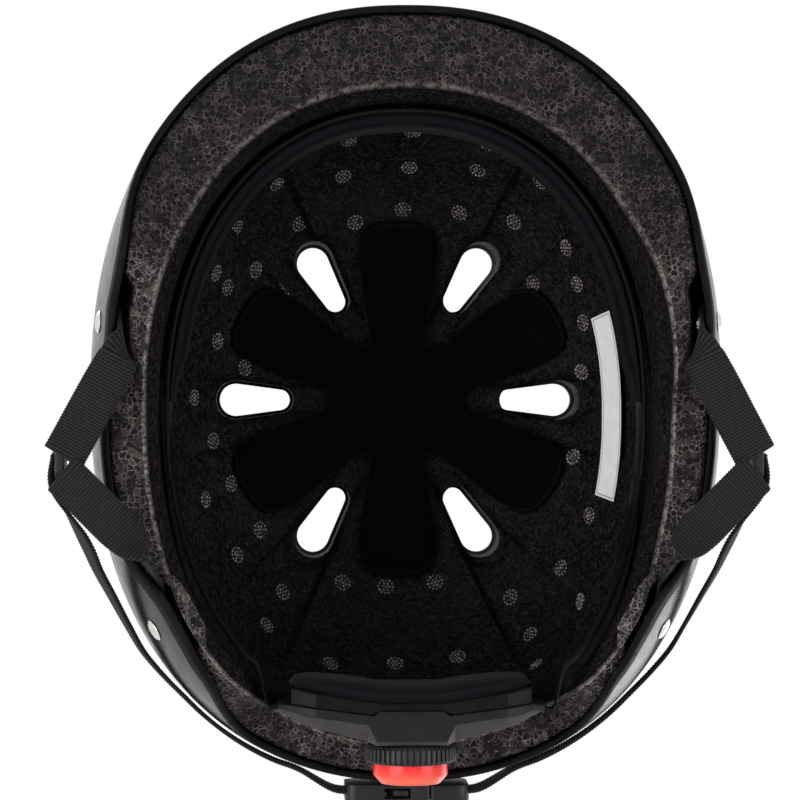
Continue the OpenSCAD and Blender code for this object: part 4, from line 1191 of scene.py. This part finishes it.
def curve_through(places, step):
    """Points and width directions every step mm on a smooth curve through a list of (middle, direction)."""
    spots = np.array([list(p) + list(w) for p, w in places], float)
    spots[:, 3:] = unit(spots[:, 3:])
    fine = refined(spots, 24)
    run = np.concatenate([[0], np.cumsum(np.linalg.norm(np.diff(fine[:, :3], axis=0), axis=1))])
    at = np.linspace(0, run[-1], max(8, int(run[-1] / step)))
    return np.stack([np.interp(at, run, fine[:, k]) for k in range(6)], -1), run[-1]


def webbing_section(on_rib):
    """Fourteen (across, through) places round the strip, on a rib or between two."""
    half_w = WEB_W / 2 + (0.14 if on_rib else -0.14)
    half_t = WEB_T / 2 + (0.10 if on_rib else -0.12)
    across = [-half_w + SELVEDGE, -half_w * 0.5, 0, half_w * 0.5, half_w - SELVEDGE]
    near, far = [(a, -half_t) for a in across], [(a, half_t) for a in across[::-1]]
    right = [(half_w, -SELVEDGE), (half_w, SELVEDGE)]
    return [(-half_w, -SELVEDGE)] + near + right + far + [(-half_w, SELVEDGE)]


def webbing(name, places, mirrored=False, folded=False):
    """A strip of webbing through places. Folded, its last 3 mm bend up, as where it turns round a bar."""
    spots, length = curve_through(places, HALF_RIB)
    if folded:
        run = unit(spots[-1, :3] - spots[-3, :3])
        upward = unit(np.array([0, 0, 1.0]) - run[2] * run)
        for a in np.radians(FOLD_ANGLES):
            spots = np.vstack([spots, spots[-1]])
            spots[-1, :3] += HALF_RIB * (run * math.cos(a) + upward * math.sin(a))
    rows = []
    for i, spot in enumerate(spots):
        along = unit(spots[min(i + 1, len(spots) - 1), :3] - spots[max(i - 1, 0), :3])
        wide = unit(spot[3:] - np.dot(spot[3:], along) * along)
        thick = np.cross(along, wide)
        rows.append([spot[:3] + wide * a + thick * b for a, b in webbing_section(i % 2)])
    rows = np.array(rows) * [-1 if mirrored else 1, 1, 1]
    strip = new_piece(name, *skin(rows), sharp=70)
    stored(strip, "rib", np.repeat(np.arange(len(rows)) % 2, rows.shape[1]))
    print(name, "is", round(length), "mm long")
    return strip


# %% The look of webbing
web_paint = Finish("woven webbing", "211f20", 0.8, Sheen_Weight=0.08, Sheen_Roughness=0.4, Specular_IOR_Level=0.12)
yarn = web_paint.noise(1300, 4, 0.7)
ridge = web_paint.ramp(yarn, (0.3, "1e1c1d"), (0.6, "343133"), (0.85, "4a4648"))
# Painted shade and light: near black between the ribs, lighter on them.
web_paint.colour(web_paint.mix(web_paint.stored("rib"), "060606", ridge))
web_paint.bump(web_paint.maths("ADD", yarn, web_paint.cells(1500.0)["Distance"]), 0.16, 0.7)
print("webbing material:", web_paint.material.name)

# %% [markdown]
# ## Where the straps run
#
# Each side has two legs. Both are riveted between shell and foam, come out under the lip and meet in a flat
# divider below the ear, edge on to the camera. In front of the ear the leg hangs straight and then twists
# backward. Behind the ear it runs forward inside the shell and comes out over the slanting edge of the ear
# arch. From the dividers the chin strap goes round the back of the shell, where the photograph has it
# buckled. The places are the CAD solids' own, and the left side is the mirror of the right.

# %% Places and directions on the way
DIV_X, DIV_Y, DIV_Z, LOOP_HIGH = SHELL_W / 2 + 8.5, SHELL_Y + 23, 20.5, 50.0
LEG_Z = DIV_Z - 10.2
BEHIND_LEG = LINER_D + WEB_T


def mixed(a, b, t):
    return np.asarray(a, float) * (1 - t) + np.asarray(b, float) * t


def turned(a, b, t):
    """A direction part of the way from one to another."""
    return unit(mixed(a, b, t))


def along_wall(u, z, back_share):
    back = unit(wall(u + 1, z) - wall(u - 1, z))
    down = unit(wall(u, z - 1) - wall(u, z + 1))
    return unit(back_share * back + down)


def in_pocket(u, z):
    return wall(u, z, LINER_D + WEB_T / 2 + 0.6)


print("the legs meet at", [round(float(v), 1) for v in (DIV_X, DIV_Y, LEG_Z)])

# %% Front legs
level = np.cross([0, 0, 1], unit(np.array([*outward(81, 22)[:2], 0.0])))
high, low = in_pocket(81, 29), in_pocket(81, 17)
inside = wall(83.6, 7, BEHIND_LEG + 0.9)
under_lip = np.array([*wall(86, 5, 2)[:2], 4.4])
at_divider = np.array([DIV_X - 2.4, DIV_Y - 3.5, LEG_Z])
w1, w2, w3 = np.array([[-0.2, 0.85, 0.45], [-0.6, 0.65, 0.35], [-0.82, 0.55, 0.1]])
front_leg = [(high, level), (mixed(high, low, 0.5), level), (low, level),
             (mixed(low, inside, 0.5), turned(level, w1, 0.5)), (inside, w1),
             (mixed(inside, under_lip, 0.5) - [0, 0, 0.8], turned(w1, w2, 0.5)), (under_lip, w2),
             (mixed(under_lip, at_divider, 0.25) - [0, 0, 0.5], turned(w2, w3, 0.5)),
             (mixed(under_lip, at_divider, 0.55), w3), (at_divider, w3)]
for hand in ("right", "left"):
    leg = webbing("webbing_front_leg_" + hand, front_leg, hand == "left", folded=True)
    seat(leg, "helmet", web_paint.material, "front_leg_" + hand, slot="webbing")

# %% Rear legs
w1, w2 = along_wall(126, 20, 0.32), along_wall(118.5, 14, 0.32)
w3, w4 = along_wall(114, 12, 1.5), np.array([0.62, 0.76, 0.1])
inside, over_edge = wall(118.5, 14, BEHIND_LEG + 0.8), wall(114, 7.5, 3.2)
at_divider = np.array([DIV_X - 2.4, DIV_Y + 5, LEG_Z])
rear_leg = [(in_pocket(129.5, 21.6), w1), (in_pocket(126, 20), w1), (in_pocket(123, 18.8), w1),
            (inside, w2), (mixed(inside, over_edge, 0.6), turned(w2, w3, 0.6)), (over_edge, w3),
            (mixed(over_edge, at_divider, 0.25) - [0, 0, 0.5], turned(w3, w4, 0.4)),
            (mixed(over_edge, at_divider, 0.6), turned(w3, w4, 0.85)), (at_divider, w4)]
for hand in ("right", "left"):
    leg = webbing("webbing_rear_leg_" + hand, rear_leg, hand == "left", folded=True)
    seat(leg, "helmet", web_paint.material, "rear_leg_" + hand, slot="webbing")

# %% Chin strap
BUCKLE_L = 44.0
low_corner, high_corner = box_mm("buckle_female")
SLOT_Y = (low_corner[1] + high_corner[1]) / 2 - 0.4
LOOP_Z = [(98, DIV_Z + 4), (135, LOOP_HIGH - 5), (165, LOOP_HIGH), (180, LOOP_HIGH)]
LOOP_E = [(98, 13), (124, 4), (140, WEB_T / 2 + 0.9), (180, WEB_T / 2 + 0.9)]


def loop_place(u):
    z = float(stepped(LOOP_Z, u))
    return wall(u, z) + outward(u, z) * float(stepped(LOOP_E, u)), unit(wall(u, z + 5) - wall(u, z - 5))


upright, leaning = (0, 0, 1), (0, -0.2, 1)
loop = [((DIV_X + 1.9 + WEB_T / 2, DIV_Y - 3, DIV_Z + 2), leaning),
        ((DIV_X + 2 + WEB_T / 2, DIV_Y + 8.4, DIV_Z + 2.8), leaning)]
loop += [loop_place(u) for u in range(108, 164, 5)]
loop += [((BUCKLE_L / 2 + 4, SLOT_Y - 0.4, LOOP_HIGH), upright), ((BUCKLE_L / 2 - 5, SLOT_Y, LOOP_HIGH), upright)]
strap_right = webbing("chin_webbing_right", loop)
strap_right.data.materials.append(web_paint.material)
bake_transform(strap_right)
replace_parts(strap_right, "chin_strap_right")
strap_left = webbing("chin_webbing_left", loop, True)
seat(strap_left, "helmet", web_paint.material, "chin_strap_left", slot="webbing")

# %% [markdown]
# ## Moulded plastic: dividers, buckle and cradle
#
# Moulded parts have no razor edges: every edge has a small radius that catches light. These forms are
# right in the CAD frame, so each piece here is a copy of the CAD solid with its edges rounded by a bevel.
# Drawing them again would only repeat the same sizes.

# %% Moulded plastics
def moulded(name, dark, light, low_rough, high_rough, grain=0.03, **sockets):
    """Plastic as a mould leaves it: nearly even, with a fine grain and a little wear."""
    paint = Finish(name, dark, low_rough, **sockets)
    paint.colour(paint.ramp(paint.noise(140, 5), (0.3, dark), (0.75, light)))
    paint.rough(paint.grey(paint.noise(420, 5, 0.65), 0.3, 0.75, low_rough, high_rough))
    paint.bump(paint.noise(3200, 3, 0.6), grain, 0.6)
    return paint.material


buckle_paint = moulded("black acetal", "0f0e10", "1b1a1c", 0.34, 0.5, Specular_IOR_Level=0.25)
cradle_paint = moulded("dark cradle plastic", "161518", "201e21", 0.38, 0.52, 0.05, Specular_IOR_Level=0.12)
facet_painted_light = moulded("matt cradle facets with painted light", "343134", "403b3e", 0.45, 0.6, 0.07, Specular_IOR_Level=0.2)
front_paint = moulded("dark cradle face", "09080a", "111013", 0.36, 0.5, Specular_IOR_Level=0.08)
print("moulded plastics:", [p.name for p in (buckle_paint, cradle_paint, facet_painted_light, front_paint)])

# %% Copies with eased edges
MOULD_CORNER = 28


def eased_copy(node, name, ease_mm, body):
    """A copy of a CAD solid without doubled points and split flat faces, its edges rounded."""
    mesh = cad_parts[node].data.copy()
    form = bmesh.new()
    form.from_mesh(mesh)
    bmesh.ops.remove_doubles(form, verts=form.verts, dist=0.00002)
    bmesh.ops.dissolve_limit(form, angle_limit=math.radians(2), verts=form.verts, edges=form.edges)
    form.to_mesh(mesh)
    form.free()
    thing = eased(placed(name, mesh), ease_mm, MOULD_CORNER, 35)
    seat(thing, body, buckle_paint, node, slot="buckle_black")
    print(name, "has", len(thing.data.polygons), "faces")


for hand in ("left", "right"):
    eased_copy(hand + "_divider", "divider_" + hand, 0.5, "helmet")
eased_copy("buckle_female", "buckle_socket", 0.5, "helmet")
eased_copy("buckle_male", "buckle_tongue_part", 0.5, "buckle_tongue")
eased_copy("buckle_prongs", "buckle_side_prongs", 0.4, "buckle_tongue")

# %% [markdown]
# ## The cradle
#
# The cradle is two mouldings that meet at a seam: a dark face toward the head and a dark grey housing behind.
# Seen from below, the face is hollow to follow the nape, the seam steps back in the middle, and the
# housing's lower edge is cut away in long slanting facets. Faces of the housing that turn back and down get
# a lighter grey paint: that is painted light, for the light those facets catch. The form is a row of
# sections from left to right, each with the same eight corners, so that every facet is planned. A box
# with boolean cuts would give the same facets, but not the hollow face.

# %% Edges of the cradle
DIAL_Z, CRADLE_BACK_Y = 17.5, 103.2
CRADLE_MIDDLE, CRADLE_HALF, CRADLE_END = DIAL_Z + 0.5, 15, 46.0
CRADLE_LOW = CRADLE_MIDDLE - CRADLE_HALF


def at_x(x, places, values):
    """A value at x, the same to the left and right, on straight lines between a few places."""
    return float(np.interp(abs(x), places, values))


def rear_edge(x):
    return at_x(x, [0, 12.5, 14.5, 37, 42.5, 46], [13.5, 13.5, 12.6, 6.6, 3.6, 2.2]) + CRADLE_BACK_Y


def low_edge(x):
    return at_x(x, [0, 33, 42.5, 46], [0, 0, 5.5, 8.5]) + CRADLE_LOW


def seam(x):
    return at_x(x, [0, 11, 13, 41, 46], [1.6, 1.6, 3.2, -0.4, -0.4]) + CRADLE_BACK_Y


def front_edge(x):
    return float(face_dip(x)) + 100.0


print("cradle from", front_edge(0), "back to", rear_edge(0), "mm")

# %% Sections of the cradle
def housing_section(x):
    """The housing at x: seam, flat underside, slanting lower facet, back, and the same above."""
    low, rear, front = low_edge(x), rear_edge(x), seam(x)
    high = 2 * CRADLE_MIDDLE - low
    cut_back = at_x(x, [0, 12, 15, 30, 42, 46], [1.0, 1.0, 5.2, 4.6, 1.6, 0.6])
    shelf = front + 0.25 + (rear - front) * at_x(x, [0, 12, 15, 46], [0.85, 0.85, 0.32, 0.5])
    return [(x, front, low + 0.35), (x, front + 0.4, low), (x, shelf, low), (x, rear, low + cut_back),
            (x, rear, high - cut_back), (x, shelf, high), (x, front + 0.4, high), (x, front, high - 0.35)]


def face_section(x):
    """The face at x: its rounded front corners, and the seam that it meets the housing at."""
    low, back, front = low_edge(x), seam(x) - 0.15, front_edge(x)
    high = 2 * CRADLE_MIDDLE - low
    return [(x, front, low + 1.0), (x, front + 0.7, low + 0.1), (x, back - 0.4, low), (x, back, low + 0.35),
            (x, back, high - 0.35), (x, back - 0.4, high), (x, front + 0.7, high - 0.1), (x, front, high - 1.0)]


def lofted(name, section, half, paint, node, ease_mm):
    """A cradle piece through sections at the places of its right half and their mirror images."""
    stations = [-x for x in half[:0:-1]] + half
    thing = new_piece(name, *skin([section(x) for x in stations]), sharp=20)
    return seat(eased(thing, ease_mm, 16, 30), "cradle", paint, node, slot="cradle_grey")


print("corners in a section:", len(housing_section(0)))

# %% Cradle housing and face
housing_half = [0.0, 6.0, 11.0, 12.0, 13.0, 15.0, 20.0, 26.0, 33.0, 37.0, 42.0, CRADLE_END]
face_half = [0.0, 6.0, 10.5, 12.0, 14.0, 20.0, 26.0, 33.0, 37.0, 41.5]
housing = lofted("cradle_housing", housing_section, housing_half, cradle_paint, "cradle_back", 0.35)
cradle_face = lofted("cradle_face", face_section, face_half, front_paint, "cradle_front", 0.3)
# Painted light: faces turned back and down get the lighter facet paint, for the light that they catch.
housing.data.materials.append(facet_painted_light)
for polygon in housing.data.polygons:
    polygon.material_index = int(polygon.normal.y > 0.35 and abs(polygon.normal.z) > 0.3)
print("cradle housing and face:", len(housing.data.polygons), len(cradle_face.data.polygons), "faces")

# %% [markdown]
# ## The dial
#
# Dial, lens and rivets are turned forms, so each is a profile spun about an axis. The dial's rim has 48
# lands with narrow grooves between them, for the fingers. They are made by moving the rim's radius with the
# angle, which keeps one clean mesh. Cutting 48 grooves with booleans would leave ragged edges.

# %% Spinning a profile
def spun(name, profiles, middle, axis, steps, radius_change=None, sharp=35):
    """Spins closed profiles of (radius, height) about an axis through a point in millimetres."""
    axis = unit(np.asarray(axis, float))
    side = unit(np.cross(axis, [0.3, 0.2, 1.0] if abs(axis[2]) < 0.9 else [1.0, 0, 0]))
    other = np.cross(axis, side)
    angles = np.radians(np.arange(steps) * 360.0 / steps)
    points, faces = [], []
    for profile in profiles:
        base, n = len(points), len(profile)
        for q in angles:
            for r, h in profile:
                far = r + (radius_change(q, r) if radius_change else 0.0)
                points.append(np.asarray(middle) + axis * h + side * far * math.cos(q) + other * far * math.sin(q))
        for i in range(steps):
            for k in range(n):
                a, b = base + i * n, base + ((i + 1) % steps) * n
                faces.append((a + k, a + (k + 1) % n, b + (k + 1) % n, b + k))
    return new_piece(name, points, faces, sharp)


low_corner, high_corner = box_mm("dial_wheel")
DIAL_Y, DIAL_D = float(low_corner[1]), float(high_corner[1] - low_corner[1])
print("dial:", round(DIAL_D, 1), "mm thick, from y =", round(DIAL_Y, 1))

# %% Dial
LANDS, GROOVE, GROOVED_FROM, DIAL_R = 48, 0.75, 15.5, 16.0


def grooves(q, r):
    """Lowers the dial's rim between its lands."""
    return -GROOVE * float(smooth((-math.cos(LANDS * q) - 0.15) / 0.6)) if r > GROOVED_FROM else 0.0


back_rim = [(1.1, 0), (14.2, 0), (15.0, 0.35), (15.55, 0.8), (DIAL_R, 1.3)]
front_rim = [(DIAL_R, DIAL_D - 1.3), (15.55, DIAL_D - 0.8), (15.0, DIAL_D - 0.3), (14.3, DIAL_D), (13.5, DIAL_D)]
lens_seat = [(13.2, DIAL_D - 0.3), (13.2, DIAL_D - 1.6), (14.0, DIAL_D - 1.6), (14.0, DIAL_D - 4.4)]
floor_in_dial = [(13.2, DIAL_D - 4.4), (13.2, 1.3), (1.1, 1.3)]
collar = [(9.0, 1.2), (11.2, 1.2), (11.2, 4.3), (9.0, 4.3)]
profiles = [back_rim + front_rim + lens_seat + floor_in_dial, collar]
dial = spun("dial_knurled", profiles, (0, DIAL_Y, DIAL_Z), (0, 1, 0), 480, grooves, 40)
dial_paint = moulded("dial plastic", "1c1b1d", "2b292c", 0.36, 0.5, 0.04, Specular_IOR_Level=0.25)
seat(dial, "dial", dial_paint, "dial_wheel", slot="dial_black")
print("dial:", len(dial.data.polygons), "faces")

# %% [markdown]
# ## The light's lens
#
# The lens is a cup of clear red plastic that is pressed to switch the light. It is painted deeper red where it
# meets the dial and paler toward its bevelled end: the paler end is painted light, for the light that gets
# through the thin edge. The colour is a ramp along the axis. Real transparency would show the parts inside,
# which the photograph doesn't.

# %% Red lens
low_corner, high_corner = box_mm("light_lens")
LENS_Y, LENS_H = float(low_corner[1]), float(high_corner[1] - low_corner[1])
collar = [(11.6, 0), (13.7, 0), (13.75, 0.1), (13.75, 0.8), (13.0, 0.85)]
dome_out = [(13.0, 6.5), (12.9, 6.85), (10.7, 9.45), (10.3, 9.75), (6.0, 10.12)]
dome_out += [(2.5, LENS_H - 0.04), (0.001, LENS_H)]
dome_in = [(0.001, 4.2), (1.6, 4.2), (1.6, 8.2), (9.4, 8.2), (11.6, 5.8)]
lens = spun("red_lens", [collar + dome_out + dome_in], (0, LENS_Y, DIAL_Z), (0, 1, 0), 128, None, 30)
red = Finish("clear red plastic", "f02c30", 0.25, Specular_IOR_Level=0.3)
depth = red.add("SeparateXYZ", [(red.place, "Vector")]).outputs["Y"]
along_lens = red.grey(depth, (LENS_Y + 0.5) * MM, (LENS_Y + LENS_H) * MM, 0.0, 1.0)
uneven = red.maths("ADD", along_lens, red.grey(red.noise(60, 2), 0.3, 0.7, -0.06, 0.06))
# Painted light: the reds pale along the axis toward the thin end, where light gets through.
reds_with_painted_glow = (0.0, "d4141a"), (0.3, "f22a2b"), (0.55, "fb4a3f"), (0.78, "ff7159"), (0.9, "f86853"), (1.0, "e0352e")
red.colour(red.ramp(uneven, *reds_with_painted_glow))
red.rough(red.grey(red.noise(300, 4), 0.3, 0.7, 0.16, 0.28))
red.bump(red.noise(200, 2), 0.02, 0.3)
seat(lens, "lens", red.material, "light_lens", slot="red_lens")
print("lens:", round(LENS_H, 1), "mm deep")

# %% [markdown]
# ## The rivets
#
# Four polished steel rivets hold the legs of the straps. Each has a low dome outside the shell and a shank
# through shell, webbing and washer, with a flat tail. All four are one piece, as the CAD node is.

# %% Rivets
SHANK, TAIL_R, TAIL_T = 1.6, 2.4, 0.7
FOOT = -LINER_D - WEB_T - 2.0
head = [(0.001, 1.32), (1.2, 1.27), (2.3, 1.08), (3.2, 0.76), (3.8, 0.4), (4.0, 0.2), (3.95, 0.1)]
tail = [(SHANK, 0.1), (SHANK, FOOT), (TAIL_R, FOOT), (TAIL_R, FOOT - TAIL_T), (0.001, FOOT - TAIL_T)]
steel = Finish("polished rivet steel", "d5d1cd", 0.22, Metallic=1.0)
steel.rough(steel.grey(steel.noise(900, 5, 0.7), 0.3, 0.75, 0.16, 0.42))
steel.colour(steel.ramp(steel.noise(350, 4), (0.3, "c4bfba"), (0.7, "e2dfdb")))
steel.bump(steel.noise(1500, 3), 0.02, 0.5)
form = bmesh.new()
for at, up in RIVETS:
    one = spun("rivet", [head + tail], wall(at, up), outward(at, up), 40, None, 30)
    form.from_mesh(one.data)
    bpy.data.objects.remove(one)
mesh = bpy.data.meshes.new("rivet_heads")
form.to_mesh(mesh)
form.free()
rivets = placed("rivet_heads", mesh)
tidy(rivets, 30)
seat(rivets, "helmet", steel.material, "rivets", slot="rivet_metal")
print("rivets:", len(RIVETS))

# %% [markdown]
# ## The sticker
#
# A narrow white sticker follows the foam on one side. It stays blank apart from a thin printed frame. The
# frame is a painted line on a fine grid, which keeps a thin, clean edge on the curve.

# %% The sticker's sheet
STICKER_OUT, PAPER_T = 0.66, 0.16
turns, rises = np.meshgrid(np.linspace(70, 106, 145), np.linspace(24, 33, 31), indexing="ij")
top_side, under = cavdome(turns, rises, STICKER_OUT), cavdome(turns, rises, STICKER_OUT - PAPER_T)


def along(line):
    """How far each point of a line is from its start."""
    return np.concatenate([[0], np.cumsum(np.linalg.norm(np.diff(line, axis=0), axis=1))])


many, high = turns.shape
number = np.arange(many * high).reshape(many, high)
faces = []
for i in range(many - 1):
    for j in range(high - 1):
        a, b, c, d = number[i, j], number[i + 1, j], number[i + 1, j + 1], number[i, j + 1]
        faces += [(a, b, c, d), (a + number.size, d + number.size, c + number.size, b + number.size)]
border = [*number[:, 0], *number[-1, 1:], *number[-2::-1, -1], *number[0, -2:0:-1]]
for a, b in zip(border, border[1:] + border[:1]):
    faces.append((a, b, b + number.size, a + number.size))
sticker = new_piece("blank_sticker", [*top_side.reshape(-1, 3), *under.reshape(-1, 3)], faces, 50)
length, width = along(top_side[:, high // 2]), along(top_side[many // 2])
print("sticker:", round(float(length[-1])), "by", round(float(width[-1])), "mm")

# %% The sticker's frame and paper
FRAME_IN, FRAME_W = 0.9, 0.16
inset = np.minimum(np.minimum(length, length[-1] - length)[:, None], np.minimum(width, width[-1] - width)[None, :])
line = np.exp(-((inset - FRAME_IN) / FRAME_W) ** 2)
stored(sticker, "frame_line", np.concatenate([line.reshape(-1), np.zeros(number.size)]))
paper = Finish("white sticker", "f4f3f3", 0.45, Specular_IOR_Level=0.4)
white = paper.ramp(paper.noise(180, 4), (0.3, "eeeded"), (0.7, "faf9f9"))
paper.colour(paper.mix(paper.stored("frame_line"), white, "8a8888"))
paper.rough(paper.grey(paper.noise(800, 3), 0.3, 0.7, 0.38, 0.55))
paper.bump(paper.noise(120, 3), 0.08, 0.4)
seat(sticker, "helmet", paper.material, "size_label", slot="label_white")
print("paper:", paper.material.name)

# %% [markdown]
# ## Finishes for the pieces that stay as CAD solids
#
# The small parts inside the dial, the racks and the pins are right as they are. They only get a finish of
# their own: dark rack plastic, bright screws, green board, and so on.

# %% Paint the small parts
def paint(material, *names):
    for name in names:
        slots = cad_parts[name].data.materials
        for i in range(len(slots)):
            slots[i] = material
        if not slots:
            slots.append(material)


def metal(name, dark, light, low_rough, high_rough):
    bright = Finish(name, light, low_rough, Metallic=1.0)
    bright.colour(bright.ramp(bright.noise(260, 4), (0.3, dark), (0.7, light)))
    bright.rough(bright.grey(bright.noise(900, 4, 0.7), 0.3, 0.75, low_rough, high_rough))
    bright.bump(bright.noise(2400, 3), 0.02, 0.5)
    return bright.material


screw_steel = metal("plated screws", "8d8b88", "b8b5b1", 0.25, 0.45)
rack_paint = moulded("rack plastic", "141316", "222124", 0.35, 0.5, Specular_IOR_Level=0.25)
hooks = Finish("hook tape", "1b1b1c", 0.85)
hooks.colour(hooks.ramp(hooks.noise(1400, 3), (0.3, "101011"), (0.7, "2c2c2e")))
hooks.bump(hooks.cells(1100.0)["Distance"], 0.3, 1.0)
paint(screw_steel, "cradle_screws", "dial_screw", "dial_washer", "rivet_washers")
paint(metal("coin cell steel", "a3a09c", "cfccc8", 0.2, 0.35), "coin_cell")
paint(band_paint.material, "band_pins")
paint(rack_paint, "left_rack", "right_rack", "pinion")
paint(moulded("circuit board green", "1c4a2a", "2b6a3d", 0.3, 0.5), "light_board")
paint(moulded("switch plastic", "b5b3b0", "d2d0cd", 0.35, 0.5), "light_switch")
paint(moulded("light chip", "e6e3cf", "f6f4e6", 0.2, 0.35), "leds")
paint(hooks.material, "hook_dots")
print("painted CAD solids:", sum(1 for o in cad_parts.values() if not o.hide_render))

# %% [markdown]
# ## The end
